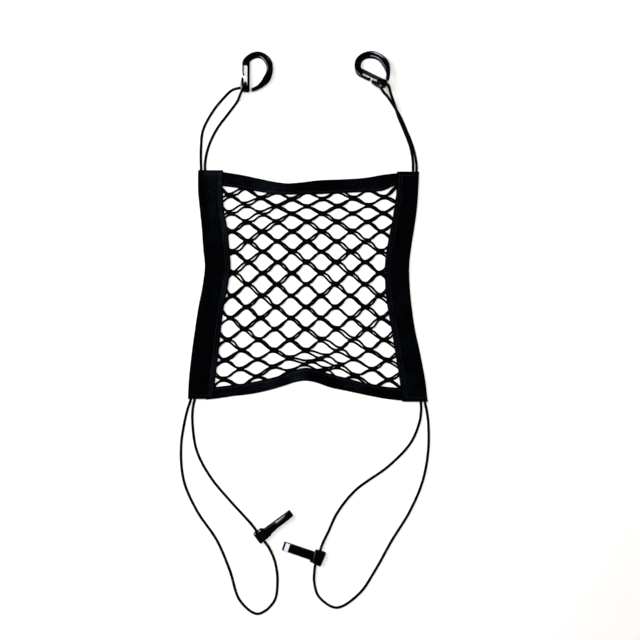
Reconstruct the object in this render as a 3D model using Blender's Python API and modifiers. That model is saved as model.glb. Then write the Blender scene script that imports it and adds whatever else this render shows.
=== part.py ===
"""A doubled elastic cargo net laid flat: two layers of net in four folded elastic
bands, with four cord loops that carry two hooks and two clips.
Metres, +Z up, X across the net, +Y towards the two hooks."""

import math
from collections import namedtuple

import bmesh
import bpy
import numpy as np
from mathutils import Matrix, Vector

MM = 0.001

# Plan positions in the tables are in units of 1.2 mm, X to the right and Y down,
# measured from the same corner. CENTRE is the middle of the net with its bands.
UNIT = 1.2
CENTRE_X = 307.8
CENTRE_Y = 286.1

# Millimetres from here on.
WEBBING = 1.0
NET_THICKNESS = 1.0
LAYER_GAP = 0.35
RIPPLE = 0.5
CORD_DIAMETER = 3.2
CORD_STEP = 8.7
CORD_FINE_STEP = 3.0
CASING_OVERLAP = 9.0
SIDE_FLAP_SHORT = 12.4
END_FLAP_SHORT = 0.8
NET_TUCK_LEFT = 13.6
NET_TUCK_RIGHT = 11.0
NET_TUCK_END = 9.0
NET_RIM_STEP = 17.0
HOLE_TO_RIM = 1.3
HOLE_SHARE_ACROSS = 0.78
HOLE_SHARE_ALONG = 0.80
HOLE_SHARE_UNDER_BAND = 0.35
HOLE_POWER = 1.45
HOOK_THICKNESS = 6.4
HOOK_EDGE = 0.8
CLIP_STRAP_WIDTH = 10.2
CLIP_BLOCK_LENGTH = 14.6
CLIP_EDGE = 2.2
CORD_HOLE = 4.2
CLIP_MOUTH = 3.5

LAYER = WEBBING + LAYER_GAP
BAND_TOP = 3 * LAYER

# Where a side band's upper flap climbs over the ends of the other two bands.
CLIMB_FROM = 88.0
CLIMB_LENGTH = 22.0
SIDE_STATIONS = 15
END_STATIONS = 16

Side = namedtuple("Side", "y outer inner")
LEFT_BAND = [
    Side(170.6, 198.2, 223.0),
    Side(190.0, 198.2, 223.0),
    Side(210.0, 200.0, 224.0),
    Side(230.0, 202.0, 227.6),
    Side(250.0, 203.4, 229.4),
    Side(265.0, 204.9, 230.6),
    Side(285.0, 202.8, 228.2),
    Side(305.0, 198.9, 224.2),
    Side(330.0, 195.0, 221.0),
    Side(355.0, 191.6, 218.4),
    Side(380.0, 189.0, 215.3),
    Side(398.8, 188.0, 213.6),
]
RIGHT_BAND = [
    Side(172.0, 419.0, 397.0),
    Side(190.0, 418.2, 396.6),
    Side(207.0, 417.0, 394.4),
    Side(227.0, 414.4, 391.0),
    Side(246.0, 411.4, 387.4),
    Side(265.0, 409.2, 385.0),
    Side(285.0, 409.6, 385.3),
    Side(305.0, 411.4, 387.2),
    Side(330.0, 415.0, 391.6),
    Side(355.0, 420.4, 395.6),
    Side(380.0, 425.0, 399.6),
    Side(401.6, 427.6, 402.2),
]
End = namedtuple("End", "x outer inner")
TOP_BAND = [
    End(212.0, 170.8, 184.6),
    End(224.0, 172.3, 186.2),
    End(241.0, 174.9, 188.6),
    End(257.0, 178.3, 191.4),
    End(272.0, 181.4, 193.8),
    End(286.0, 183.4, 194.6),
    End(300.0, 182.6, 194.5),
    End(318.0, 180.5, 194.2),
    End(342.0, 179.5, 193.1),
    End(366.0, 177.8, 191.9),
    End(383.0, 174.9, 190.6),
    End(395.4, 173.4, 185.6),
    End(410.0, 172.4, 183.6),
]
BOTTOM_BAND = [
    End(203.0, 400.0, 388.6),
    End(218.0, 398.4, 386.8),
    End(234.0, 396.0, 384.8),
    End(250.0, 394.2, 382.6),
    End(268.0, 390.5, 378.8),
    End(285.0, 385.6, 374.2),
    End(296.0, 382.0, 369.8),
    End(306.0, 380.8, 367.8),
    End(314.0, 382.0, 369.0),
    End(330.0, 387.4, 373.9),
    End(347.0, 391.0, 378.2),
    End(368.0, 395.5, 383.8),
    End(384.0, 398.5, 386.6),
    End(402.0, 400.6, 388.0),
    End(412.0, 401.0, 388.6),
]

# The gaps sit on a lattice of half steps: columns 0 to 10, rows 0 to 18, and half gaps
# beside the end bands at rows -1 and 19.
LAST_COLUMN = 10
LAST_ROW = 18
END_ROW_STEP = 11.0
FIRST_GAP_X = -104.0
NetRow = namedtuple("NetRow", "row y")
NET_ROWS = [
    NetRow(0, 195.0),
    NetRow(3, 222.0),
    NetRow(7, 262.2),
    NetRow(11, 307.0),
    NetRow(15, 350.2),
    NetRow(18, 379.4),
]
NetSide = namedtuple("NetSide", "y left right")
NET_SIDES = [
    NetSide(204.0, 230.2, 384.0),
    NetSide(250.0, 233.6, 380.4),
    NetSide(307.0, 231.6, 380.2),
    NetSide(350.0, 226.2, 385.6),
    NetSide(370.0, 224.0, 388.8),
]
# How far the end bands pull the outermost rows, and where slack gathers in the net.
Pull = namedtuple("Pull", "share rows power")
TOP_PULL = Pull(0.5, 3, 1.3)
BOTTOM_PULL = Pull(0.6, 3, 1.2)
Slack = namedtuple("Slack", "x y width depth")
SLACK = Slack(22.0, -82.0, 46.0, 20.0)
# Where one layer of net has slipped over the other: place and reach in units, slip in millimetres.
Slip = namedtuple("Slip", "x y reach across along")
SLIP_OVERALL = (3.0, 0.4)
NET_SLIPS = [
    Slip(246, 208, 34, 0.9, -1.7),
    Slip(250, 278, 22, 1.4, -0.6),
    Slip(368, 222, 30, -1.1, 0.0),
    Slip(330, 304, 30, -1.1, -0.6),
    Slip(376, 334, 24, 2.2, -0.2),
    Slip(322, 360, 26, 1.0, 3.4),
]
Layer = namedtuple("Layer", "base side sway loose")
BACK_LAYER = Layer(LAYER, -0.5, 0.5, 0.0)
FRONT_LAYER = Layer(2 * LAYER, 0.5, 0.7, 3.0)

# Cord routes: plan position in units, height of the centreline in millimetres.
Stop = namedtuple("Stop", "x y z")
TOP_LEFT_OUT = [
    Stop(201.4, 183.5, 3.3),
    Stop(201.4, 173.5, 3.3),
    Stop(201.0, 161.5, 2.1),
    Stop(201.1, 147.5, 1.6),
    Stop(203.1, 130.5, 1.6),
    Stop(213.7, 110.5, 1.6),
    Stop(223.9, 98.1, 1.6),
    Stop(231.9, 90.5, 1.6),
]
TOP_LEFT_BACK = [
    Stop(237.4, 101.9, 3.6),
    Stop(230.2, 111.5, 1.7),
    Stop(216.2, 130.5, 1.6),
    Stop(208.4, 147.5, 1.6),
    Stop(205.4, 161.5, 2.1),
    Stop(205.2, 173.5, 3.3),
    Stop(205.4, 183.5, 3.3),
]
TOP_RIGHT_OUT = [
    Stop(415.9, 184.0, 3.3),
    Stop(416.3, 173.5, 3.3),
    Stop(416.2, 163.0, 2.1),
    Stop(412.7, 147.0, 1.6),
    Stop(406.0, 130.0, 1.6),
    Stop(400.6, 118.0, 2.8),
    Stop(393.4, 106.4, 6.8),
    Stop(386.8, 97.4, 11.8),
]
TOP_RIGHT_BACK = [
    Stop(390.4, 96.8, 18.8),
    Stop(394.4, 106.6, 11.6),
    Stop(398.0, 117.0, 6.6),
    Stop(403.4, 129.6, 4.2),
    Stop(410.1, 147.0, 3.6),
    Stop(412.9, 163.0, 3.2),
    Stop(412.7, 173.5, 3.3),
    Stop(412.3, 184.0, 3.3),
]
# Down to the slot under the hook, up through it, and back over its end, in the hook's own plan.
LEFT_HOOK_IN = [
    Stop(-19.8, 16.6, -5.3),
    Stop(-16.6, 15.9, -5.6),
]
RIGHT_HOOK_IN = [
    Stop(-18.9, 23.0, -5.7),
    Stop(-16.4, 18.4, -5.7),
]
HOOK_TURN = [
    Stop(-14.0, 14.8, -4.9),
    Stop(-13.3, 13.5, -2.6),
    Stop(-13.2, 13.1, 0.0),
    Stop(-13.3, 13.5, 2.7),
    Stop(-13.5, 15.4, 5.2),
]
LEFT_HOOK_OUT = [
    Stop(-14.6, 18.2, 6.0),
    Stop(-16.2, 21.6, 5.8),
    Stop(-18.0, 25.2, 4.4),
]
RIGHT_HOOK_OUT = [
    Stop(-13.4, 18.4, 6.0),
    Stop(-13.3, 21.8, 6.0),
    Stop(-13.8, 25.6, 4.9),
]
BOTTOM_LEFT_LOOP = [
    Stop(191.8, 386.5, 3.3),
    Stop(191.4, 397.5, 3.3),
    Stop(187.9, 408.5, 2.1),
    Stop(184.9, 420.5, 1.6),
    Stop(181.1, 447.5, 1.6),
    Stop(183.9, 480.5, 1.6),
    Stop(196.9, 510.5, 1.6),
    Stop(217.1, 540.5, 1.6),
    Stop(229.9, 570.5, 1.6),
    Stop(240.1, 600.5, 1.6),
    Stop(257.6, 613.6, 1.6),
    Stop(273.9, 601.5, 1.6),
    Stop(277.5, 580.5, 1.6),
    Stop(275.0, 561.6, 2.0),
    Stop(269.4, 547.9, 4.8),
    Stop(265.9, 542.5, 5.9),
    Stop(260.5, 535.4, 6.0),
    Stop(255.1, 528.3, 5.9),
    Stop(251.2, 523.4, 4.8),
    Stop(242.6, 514.2, 2.0),
    Stop(230.0, 500.5, 1.6),
    Stop(210.5, 476.9, 1.6),
    Stop(196.8, 450.5, 1.6),
    Stop(192.5, 422.5, 1.6),
    Stop(192.9, 408.5, 2.1),
    Stop(195.1, 397.5, 3.3),
    Stop(195.3, 386.5, 3.3),
]
BOTTOM_RIGHT_LOOP = [
    Stop(423.4, 389.5, 3.3),
    Stop(424.4, 400.1, 3.3),
    Stop(426.7, 411.5, 2.1),
    Stop(428.3, 424.5, 1.6),
    Stop(428.1, 450.5, 1.6),
    Stop(422.7, 480.5, 1.6),
    Stop(410.1, 510.5, 1.6),
    Stop(391.7, 540.5, 1.6),
    Stop(375.0, 570.3, 1.6),
    Stop(359.0, 593.6, 1.6),
    Stop(336.4, 607.4, 1.6),
    Stop(318.9, 596.5, 1.6),
    Stop(314.3, 582.5, 1.8),
    Stop(314.3, 572.0, 4.4),
    Stop(315.0, 565.6, 5.4),
    Stop(317.9, 556.9, 5.5),
    Stop(320.8, 548.2, 5.4),
    Stop(323.1, 542.0, 4.4),
    Stop(327.9, 532.4, 1.8),
    Stop(337.4, 512.5, 1.6),
    Stop(355.1, 490.5, 1.6),
    Stop(389.1, 465.5, 1.6),
    Stop(410.5, 442.9, 1.6),
    Stop(419.3, 422.5, 1.6),
    Stop(420.9, 411.5, 2.1),
    Stop(420.7, 400.1, 3.3),
    Stop(419.9, 389.5, 3.3),
]

# The hook in its own plan, in units from the middle of its bend, Y down.
Arm = namedtuple("Arm", "x y width")
HOOK_ARM = [
    Arm(-10.8, -12.4, 6.4),
    Arm(-7.0, -15.4, 6.4),
    Arm(-2.4, -16.7, 6.3),
    Arm(2.6, -15.8, 6.2),
    Arm(6.9, -12.5, 6.4),
    Arm(9.9, -7.9, 6.6),
    Arm(11.0, -2.2, 6.2),
    Arm(10.2, 3.3, 6.4),
    Arm(7.7, 8.8, 7.0),
    Arm(3.8, 13.6, 5.2),
    Arm(-0.8, 17.3, 3.6),
    Arm(-4.9, 19.2, 3.2),
]
Corner = namedtuple("Corner", "x y")
HOOK_SPINE = [
    Corner(-15.6, -12.3),
    Corner(-16.4, -8.5),
    Corner(-16.4, 5.8),
    Corner(-15.1, 5.8),
    Corner(-15.1, -3.8),
    Corner(-14.4, -5.4),
    Corner(-13.2, -6.0),
    Corner(-12.0, -5.4),
    Corner(-11.3, -3.8),
    Corner(-11.3, 14.0),
    Corner(-12.0, 15.6),
    Corner(-13.2, 16.2),
    Corner(-14.4, 15.6),
    Corner(-15.1, 14.0),
    Corner(-15.1, 7.2),
    Corner(-16.6, 7.2),
    Corner(-17.6, 11.0),
    Corner(-18.1, 14.8),
    Corner(-17.0, 18.6),
    Corner(-14.8, 21.0),
    Corner(-12.0, 21.8),
    Corner(-10.0, 20.6),
    Corner(-9.1, 18.0),
    Corner(-9.1, -8.6),
]
HookPlace = namedtuple("HookPlace", "x y turn raised tip")
LEFT_HOOK = HookPlace(259.0, 71.4, 0.0, -90.0, 8.0)
RIGHT_HOOK = HookPlace(373.6, 67.1, 59.0, -72.0, 22.0)

# Side view of the clip's tongue in millimetres: length from the block, height.
CLIP_TONGUE = [
    Corner(5.0, 4.4),
    Corner(37.6, 4.4),
    Corner(43.2, 3.3),
    Corner(44.3, 2.0),
    Corner(44.3, -2.6),
    Corner(43.4, -3.7),
    Corner(42.0, -4.0),
    Corner(9.0, -5.2),
    Corner(9.0, -4.0),
    Corner(38.4, -2.8),
    Corner(39.2, -2.2),
    Corner(38.2, -1.6),
    Corner(22.6, -0.8),
    Corner(21.2, -2.4),
    Corner(5.0, -2.8),
]
ClipPlace = namedtuple("ClipPlace", "x y end_x end_y block_y block_z bore_x on_side")
LEFT_CLIP = ClipPlace(261.8, 534.4, 291.2, 512.3, 12.0, 15.4, -1.9, True)
RIGHT_CLIP = ClipPlace(318.2, 557.0, 283.2, 545.2, 17.8, 11.0, 0.4, False)

FABRIC_BLACK = (0.010, 0.011, 0.015, 1.0)
CORD_BLACK = (0.008, 0.009, 0.012, 1.0)
GLOSS_BLACK = (0.004, 0.005, 0.007, 1.0)


def plan(x, y):
    """Plan position in millimetres, Y up, of a position in units."""
    return (x - CENTRE_X) * UNIT, (CENTRE_Y - y) * UNIT


def through(xs, ys):
    """A smooth function through points that keeps its end values outside them."""
    order = np.argsort(xs)
    xs = np.asarray(xs, float)[order]
    ys = np.asarray(ys, float)[order]
    slopes = np.gradient(ys, xs)

    def value(x):
        x = np.asarray(x, float)
        i = np.clip(np.searchsorted(xs, x) - 1, 0, len(xs) - 2)
        step = xs[i + 1] - xs[i]
        t = np.clip((x - xs[i]) / step, 0.0, 1.0)
        return (
            (1 + 2 * t) * (1 - t) ** 2 * ys[i]
            + t * (1 - t) ** 2 * step * slopes[i]
            + t * t * (3 - 2 * t) * ys[i + 1]
            + t * t * (t - 1) * step * slopes[i + 1]
        )

    return value


def edge_of_side(table, column):
    """X of a side band's edge as a function of Y, in millimetres."""
    points = [plan(getattr(row, column), row.y) for row in table]
    return through([y for _, y in points], [x for x, _ in points])


def edge_of_end(table, column):
    """Y of a top or bottom band's edge as a function of X, in millimetres."""
    points = [plan(row.x, getattr(row, column)) for row in table]
    return through([x for x, _ in points], [y for _, y in points])


left_outer = edge_of_side(LEFT_BAND, "outer")
left_inner = edge_of_side(LEFT_BAND, "inner")
right_outer = edge_of_side(RIGHT_BAND, "outer")
right_inner = edge_of_side(RIGHT_BAND, "inner")
top_outer = edge_of_end(TOP_BAND, "outer")
top_inner = edge_of_end(TOP_BAND, "inner")
bottom_outer = edge_of_end(BOTTOM_BAND, "outer")
bottom_inner = edge_of_end(BOTTOM_BAND, "inner")


def ease(t):
    t = min(max(t, 0.0), 1.0)
    return t * t * (3 - 2 * t)


def clear_scene():
    for thing in list(bpy.data.objects):
        bpy.data.objects.remove(thing, do_unlink=True)


def new_collection(name, is_helper=False):
    made = bpy.data.collections.new(name)
    bpy.context.scene.collection.children.link(made)
    made.hide_render = is_helper
    return made


def material(name, colour, roughness):
    made = bpy.data.materials.new(name)
    made.use_nodes = True
    shader = made.node_tree.nodes["Principled BSDF"]
    shader.inputs["Base Color"].default_value = colour
    shader.inputs["Roughness"].default_value = roughness
    made.diffuse_color = colour
    made.roughness = roughness
    return made


def add_object(name, bm, colour, roughness, smooth, home):
    """A mesh object from a bmesh in millimetres."""
    bmesh.ops.scale(bm, vec=(MM, MM, MM), verts=bm.verts)
    bmesh.ops.recalc_face_normals(bm, faces=bm.faces)
    for face in bm.faces:
        face.smooth = smooth
    mesh = bpy.data.meshes.new(name)
    bm.to_mesh(mesh)
    bm.free()
    made = bpy.data.objects.new(name, mesh)
    home.objects.link(made)
    mesh.materials.append(material(name, colour, roughness))
    return made


def folded_strip(name, fold_line, free_line, short, heights, ripple, home):
    """A woven strip folded lengthways: the fold runs on one line, the free edge on the other.

    short is how far the flap below stops short of the free edge above it, and heights
    holds the middle of the flap above at each station.
    """
    bm = bmesh.new()
    low = WEBBING / 2
    rows = []
    for i, (fold, free) in enumerate(zip(fold_line, free_line)):
        across = Vector(free) - Vector(fold)
        width = across.length
        across.normalize()
        high = heights[i]
        radius = (high - low) / 2
        middle = WEBBING / 2 + radius
        lift = ripple * (0.5 + 0.5 * math.sin(1.9 * i + len(name)))
        profile = [(width - short, low), (middle, low)]
        for angle in (-45, 0, 45):
            turn = math.radians(angle)
            profile.append((middle - radius * math.cos(turn), low + radius + radius * math.sin(turn)))
        profile.append((middle, high))
        profile.append((0.55 * width, high + lift))
        profile.append((width, high))
        row = []
        for distance, height in profile:
            place = Vector(fold) + across * distance
            row.append(bm.verts.new((place.x, place.y, height)))
        rows.append(row)
    for before, after in zip(rows, rows[1:]):
        for j in range(len(before) - 1):
            bm.faces.new((before[j], before[j + 1], after[j + 1], after[j]))
    made = add_object(name, bm, FABRIC_BLACK, 0.8, True, home)
    solid = made.modifiers.new("webbing", "SOLIDIFY")
    solid.thickness = WEBBING * MM
    solid.offset = 0.0
    solid.use_even_offset = True
    return made


def side_band(name, table, outer, inner, home):
    top = plan(0, table[0].y)[1]
    bottom = plan(0, table[-1].y)[1]
    fold_line = []
    free_line = []
    heights = []
    for i in range(SIDE_STATIONS):
        y = top + (bottom - top) * i / (SIDE_STATIONS - 1)
        fold_line.append((float(outer(y)), y))
        free_line.append((float(inner(y)), y))
        climb = ease((abs(y) - CLIMB_FROM) / CLIMB_LENGTH)
        heights.append(WEBBING / 2 + BAND_TOP + climb * LAYER)
    return folded_strip(name, fold_line, free_line, SIDE_FLAP_SHORT, heights, RIPPLE, home)


def end_band(name, outer, inner, home):
    level = float(outer(0))
    left = float(left_inner(level)) - CASING_OVERLAP
    right = float(right_inner(level)) + CASING_OVERLAP
    left = float(left_inner(outer(left))) - CASING_OVERLAP
    right = float(right_inner(outer(right))) + CASING_OVERLAP
    fold_line = []
    free_line = []
    for i in range(END_STATIONS):
        x = left + (right - left) * i / (END_STATIONS - 1)
        fold_line.append((x, float(outer(x))))
        free_line.append((x, float(inner(x))))
    heights = [WEBBING / 2 + BAND_TOP] * END_STATIONS
    return folded_strip(name, fold_line, free_line, END_FLAP_SHORT, heights, 0.0, home)


def lattice(layer):
    """Plan position of a lattice point in one layer of net."""
    row_height = through([r.row for r in NET_ROWS], [plan(0, r.y)[1] for r in NET_ROWS])
    left = through([plan(0, s.y)[1] for s in NET_SIDES], [plan(s.left, 0)[0] for s in NET_SIDES])
    right = through([plan(0, s.y)[1] for s in NET_SIDES], [plan(s.right, 0)[0] for s in NET_SIDES])

    def place(column, row):
        y = float(row_height(row))
        if row < 0:
            y -= END_ROW_STEP * row
        if row > LAST_ROW:
            y -= END_ROW_STEP * (row - LAST_ROW)
        share = column / LAST_COLUMN
        x = float(left(y)) + share * (float(right(y)) - float(left(y)))
        # The outermost rows follow the curve of the end bands.
        near_top = max(0.0, (TOP_PULL.rows - row) / TOP_PULL.rows)
        near_bottom = max(0.0, (row - LAST_ROW + BOTTOM_PULL.rows) / BOTTOM_PULL.rows)
        from_top = TOP_PULL.share * near_top**TOP_PULL.power
        from_bottom = BOTTOM_PULL.share * near_bottom**BOTTOM_PULL.power
        y += from_top * (float(top_inner(x)) - float(top_inner(FIRST_GAP_X)))
        y += from_bottom * (float(bottom_inner(x)) - float(bottom_inner(FIRST_GAP_X)))
        # Uneven stretch, and the slack that gathers above the bottom band.
        off_x = (x - SLACK.x) / SLACK.width
        off_y = (y - SLACK.y) / SLACK.depth
        slack = layer.loose * math.exp(-(off_x**2) - off_y**2)
        slip_x, slip_y = SLIP_OVERALL
        for slip in NET_SLIPS:
            middle_x, middle_y = plan(slip.x, slip.y)
            apart = math.hypot(x - middle_x, y - middle_y) / (slip.reach * UNIT)
            slip_x += slip.across * math.exp(-(apart**2))
            slip_y += slip.along * math.exp(-(apart**2))
        x += layer.side * slip_x + layer.sway * math.sin(0.83 * row + 1.7 * column + 4 * layer.side)
        x += slack * math.sin(1.1 * column + 0.5 * row)
        y += layer.side * slip_y + layer.sway * math.cos(1.31 * row - 0.9 * column + 3 * layer.side)
        y += 0.5 * slack * math.cos(0.9 * column)
        return Vector((x, y))

    return place


def hole_outline(place, column, row):
    """Points round one gap: pointed left and right, rounded above and below.

    The outermost gaps lie partly under an end band, so they reach less far there.
    """
    middle = place(column, row)
    left = place(column - 1, row) - middle
    right = place(column + 1, row) - middle
    above = place(column, row - 1) - middle
    below = place(column, row + 1) - middle
    outermost = row < 0 or row > LAST_ROW
    steps = (-1, -0.42, 0.42) if outermost else (-1, -0.68, -0.24, 0.24, 0.68)
    if row < 0:
        above = above * HOLE_SHARE_UNDER_BAND
    if row > LAST_ROW:
        below = below * HOLE_SHARE_UNDER_BAND
    points = []
    for vertical, turn in ((above, 1), (below, -1)):
        for step in steps:
            s = step * turn
            side = right if s > 0 else left
            rise = (1 - abs(s) ** HOLE_POWER) * HOLE_SHARE_ALONG
            points.append(middle + side * abs(s) * HOLE_SHARE_ACROSS + vertical * rise)
    return points


def net_rim():
    """Outline of a layer of net, tucked under the bands, anticlockwise."""

    def left(y):
        return float(left_inner(y)) - NET_TUCK_LEFT

    def right(y):
        return float(right_inner(y)) + NET_TUCK_RIGHT

    def top(x):
        return float(top_inner(x)) + NET_TUCK_END

    def bottom(x):
        return float(bottom_inner(x)) - NET_TUCK_END

    corners = []
    for x_edge, y_edge in ((left, bottom), (right, bottom), (right, top), (left, top)):
        x, y = x_edge(0), y_edge(0)
        for _ in range(8):
            y = y_edge(x)
            x = x_edge(y)
        corners.append(Vector((x, y)))
    rim = []
    for side, edge in enumerate((bottom, right, top, left)):
        start = corners[side]
        end = corners[(side + 1) % 4]
        steps = round((end - start).length / NET_RIM_STEP)
        for i in range(steps):
            x, y = start.lerp(end, i / steps)
            rim.append((x, edge(x)) if side % 2 == 0 else (edge(y), y))
    return rim


def distance_to_rim(point, rim):
    """Signed distance from a point to the rim, positive inside it."""
    nearest = 1e9
    inside = False
    for (ax, ay), (bx, by) in zip(rim, rim[1:] + rim[:1]):
        along = Vector((bx - ax, by - ay))
        offset = Vector((point[0] - ax, point[1] - ay))
        t = min(max(offset.dot(along) / along.length_squared, 0.0), 1.0)
        nearest = min(nearest, (offset - along * t).length)
        if (ay > point[1]) != (by > point[1]):
            if point[0] < ax + (point[1] - ay) / (by - ay) * (bx - ax):
                inside = not inside
    return nearest if inside else -nearest


def net_layer(name, layer, home):
    place = lattice(layer)
    rim = net_rim()
    outlines = [rim]
    for row in range(-1, LAST_ROW + 2):
        for column in range(row % 2 == 0, LAST_COLUMN + 1, 2):
            outline = hole_outline(place, column, row)
            if min(distance_to_rim(p, rim) for p in outline) > HOLE_TO_RIM:
                outlines.append([(p.x, p.y) for p in outline])
    print(name, "gaps", len(outlines) - 1)
    curve = bpy.data.curves.new(name, "CURVE")
    curve.dimensions = "2D"
    curve.fill_mode = "BOTH"
    curve.extrude = NET_THICKNESS / 2
    for outline in outlines:
        spline = curve.splines.new("POLY")
        spline.points.add(len(outline) - 1)
        for point, (x, y) in zip(spline.points, outline):
            point.co = (x, y, 0.0, 1.0)
        spline.use_cyclic_u = True
    holder = bpy.data.objects.new(name + "_outline", curve)
    home.objects.link(holder)
    bpy.context.view_layer.update()
    evaluated = holder.evaluated_get(bpy.context.evaluated_depsgraph_get())
    flat = bpy.data.meshes.new_from_object(evaluated)
    bpy.data.objects.remove(holder, do_unlink=True)
    bm = bmesh.new()
    bm.from_mesh(flat)
    bpy.data.meshes.remove(flat)
    bmesh.ops.remove_doubles(bm, verts=bm.verts, dist=0.0001)
    for vert in bm.verts:
        vert.co.z += NET_THICKNESS / 2 + layer.base
    return add_object(name, bm, FABRIC_BLACK, 0.75, False, home)


def smooth_route(points, spacing, fine_spacing, fine_range):
    """Points along a smooth curve through the route, closer together inside fine_range."""
    dense = []
    padded = [2 * points[0] - points[1]] + points + [2 * points[-1] - points[-2]]
    for i in range(1, len(padded) - 2):
        a, b, c, d = padded[i - 1 : i + 3]
        # Centripetal steps keep the curve free of overshoot where points are uneven.
        t0 = 0.0
        t1 = t0 + max((b - a).length, 1e-6) ** 0.5
        t2 = t1 + max((c - b).length, 1e-6) ** 0.5
        t3 = t2 + max((d - c).length, 1e-6) ** 0.5
        for j in range(24):
            t = t1 + (t2 - t1) * j / 24
            ab = a * ((t1 - t) / (t1 - t0)) + b * ((t - t0) / (t1 - t0))
            bc = b * ((t2 - t) / (t2 - t1)) + c * ((t - t1) / (t2 - t1))
            cd = c * ((t3 - t) / (t3 - t2)) + d * ((t - t2) / (t3 - t2))
            abc = ab * ((t2 - t) / (t2 - t0)) + bc * ((t - t0) / (t2 - t0))
            bcd = bc * ((t3 - t) / (t3 - t1)) + cd * ((t - t1) / (t3 - t1))
            dense.append((i - 1, abc * ((t2 - t) / (t2 - t1)) + bcd * ((t - t1) / (t2 - t1))))
    dense.append((len(points) - 1, points[-1]))
    chosen = [dense[0][1]]
    travelled = 0.0
    for (_, before), (index, after) in zip(dense, dense[1:]):
        travelled += (after - before).length
        step = fine_spacing if fine_range[0] <= index < fine_range[1] else spacing
        if travelled >= step:
            chosen.append(after)
            travelled = 0.0
    if (chosen[-1] - dense[-1][1]).length < 0.5 * spacing:
        chosen.pop()
    chosen.append(dense[-1][1])
    return chosen


def cord(name, points, fine_range, home):
    route = smooth_route(points, CORD_STEP, CORD_FINE_STEP, fine_range)
    for place in route:
        place.z = max(place.z, CORD_DIAMETER / 2)
    length = sum((b - a).length for a, b in zip(route, route[1:]))
    print(name, "points", len(route), "length", round(length, 1))
    curve = bpy.data.curves.new(name, "CURVE")
    curve.dimensions = "3D"
    curve.bevel_depth = CORD_DIAMETER / 2 * MM
    curve.bevel_resolution = 2
    curve.use_fill_caps = True
    spline = curve.splines.new("POLY")
    spline.points.add(len(route) - 1)
    for point, place in zip(spline.points, route):
        point.co = (place.x * MM, place.y * MM, place.z * MM, 1.0)
    spline.use_smooth = True
    made = bpy.data.objects.new(name, curve)
    home.objects.link(made)
    curve.materials.append(material(name, CORD_BLACK, 0.7))
    return made


def stops(rows):
    return [Vector((*plan(row.x, row.y), row.z)) for row in rows]


def hook_outline():
    """Closed outline of the hook in its own plan, millimetres, Y up."""
    middles = [Vector((arm.x * UNIT, -arm.y * UNIT)) for arm in HOOK_ARM]
    outer = []
    inner = []
    for i, middle in enumerate(middles):
        before = middles[max(i - 1, 0)]
        after = middles[min(i + 1, len(middles) - 1)]
        along = (after - before).normalized()
        side = Vector((-along.y, along.x)) * HOOK_ARM[i].width * UNIT / 2
        outer.append(middle + side)
        inner.append(middle - side)
    tip = (middles[-1] - middles[-2]).normalized() * HOOK_ARM[-1].width * UNIT / 2
    across = Vector((-tip.y, tip.x))
    cap = [middles[-1] + tip * math.sin(a) - across * math.cos(a) for a in (0.8, math.pi / 2, math.pi - 0.8)]
    spine = [Vector((corner.x * UNIT, -corner.y * UNIT)) for corner in HOOK_SPINE]
    return inner + cap + outer[::-1] + spine


def hook_matrix(spot):
    """Turned in plan, tipped so that the slotted end stands on the cord, lowest point on the floor."""
    raised = math.radians(spot.raised)
    axis = Vector((math.sin(raised), -math.cos(raised), 0))
    tip = Matrix.Rotation(math.radians(spot.tip), 4, axis)
    turn = tip @ Matrix.Rotation(math.radians(spot.turn), 4, "Z")
    under = [turn @ Vector((p.x, p.y, -HOOK_THICKNESS / 2)) for p in hook_outline()]
    lowest = min(p.z for p in under)
    x, y = plan(spot.x, spot.y)
    return Matrix.Translation((x, y, -lowest)) @ turn


def hook(name, spot, home):
    bm = bmesh.new()
    ring = [bm.verts.new((p.x, p.y, -HOOK_THICKNESS / 2)) for p in hook_outline()]
    base = bm.faces.new(ring)
    raised = bmesh.ops.extrude_face_region(bm, geom=[base])
    top = [item for item in raised["geom"] if isinstance(item, bmesh.types.BMVert)]
    bmesh.ops.translate(bm, vec=(0, 0, HOOK_THICKNESS), verts=top)
    bmesh.ops.transform(bm, matrix=hook_matrix(spot), verts=bm.verts)
    made = add_object(name, bm, GLOSS_BLACK, 0.12, True, home)
    rounding = made.modifiers.new("rounding", "BEVEL")
    rounding.width = HOOK_EDGE * MM
    rounding.segments = 2
    rounding.limit_method = "ANGLE"
    rounding.angle_limit = math.radians(50)
    rounding.use_clamp_overlap = True
    return made


def hook_cord(name, out_rows, turn_rows, back_rows, spot, home):
    """The cord comes up through the hook's slot and goes back over its end."""
    matrix = hook_matrix(spot)
    turn = [matrix @ Vector((row.x * UNIT, -row.y * UNIT, row.z)) for row in turn_rows]
    route = stops(out_rows) + turn + stops(back_rows)
    fine = (len(out_rows) - 1, len(out_rows) + len(turn) + 1)
    return cord(name, route, fine, home)


def clip_matrix(spot):
    """Local X runs along the tongue; the clip stands on the floor."""
    start = Vector(plan(spot.x, spot.y))
    end = Vector(plan(spot.end_x, spot.end_y))
    along = (end - start).normalized()
    x_axis = Vector((along.x, along.y, 0))
    if spot.on_side:
        y_axis = Vector((0, 0, 1))
        height = spot.block_y / 2
    else:
        z_axis = Vector((0, 0, 1))
        y_axis = z_axis.cross(x_axis)
        height = spot.block_z / 2
    z_axis = x_axis.cross(y_axis)
    turn = Matrix((x_axis, y_axis, z_axis)).transposed().to_4x4()
    return Matrix.Translation((start.x, start.y, height)) @ turn


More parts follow.
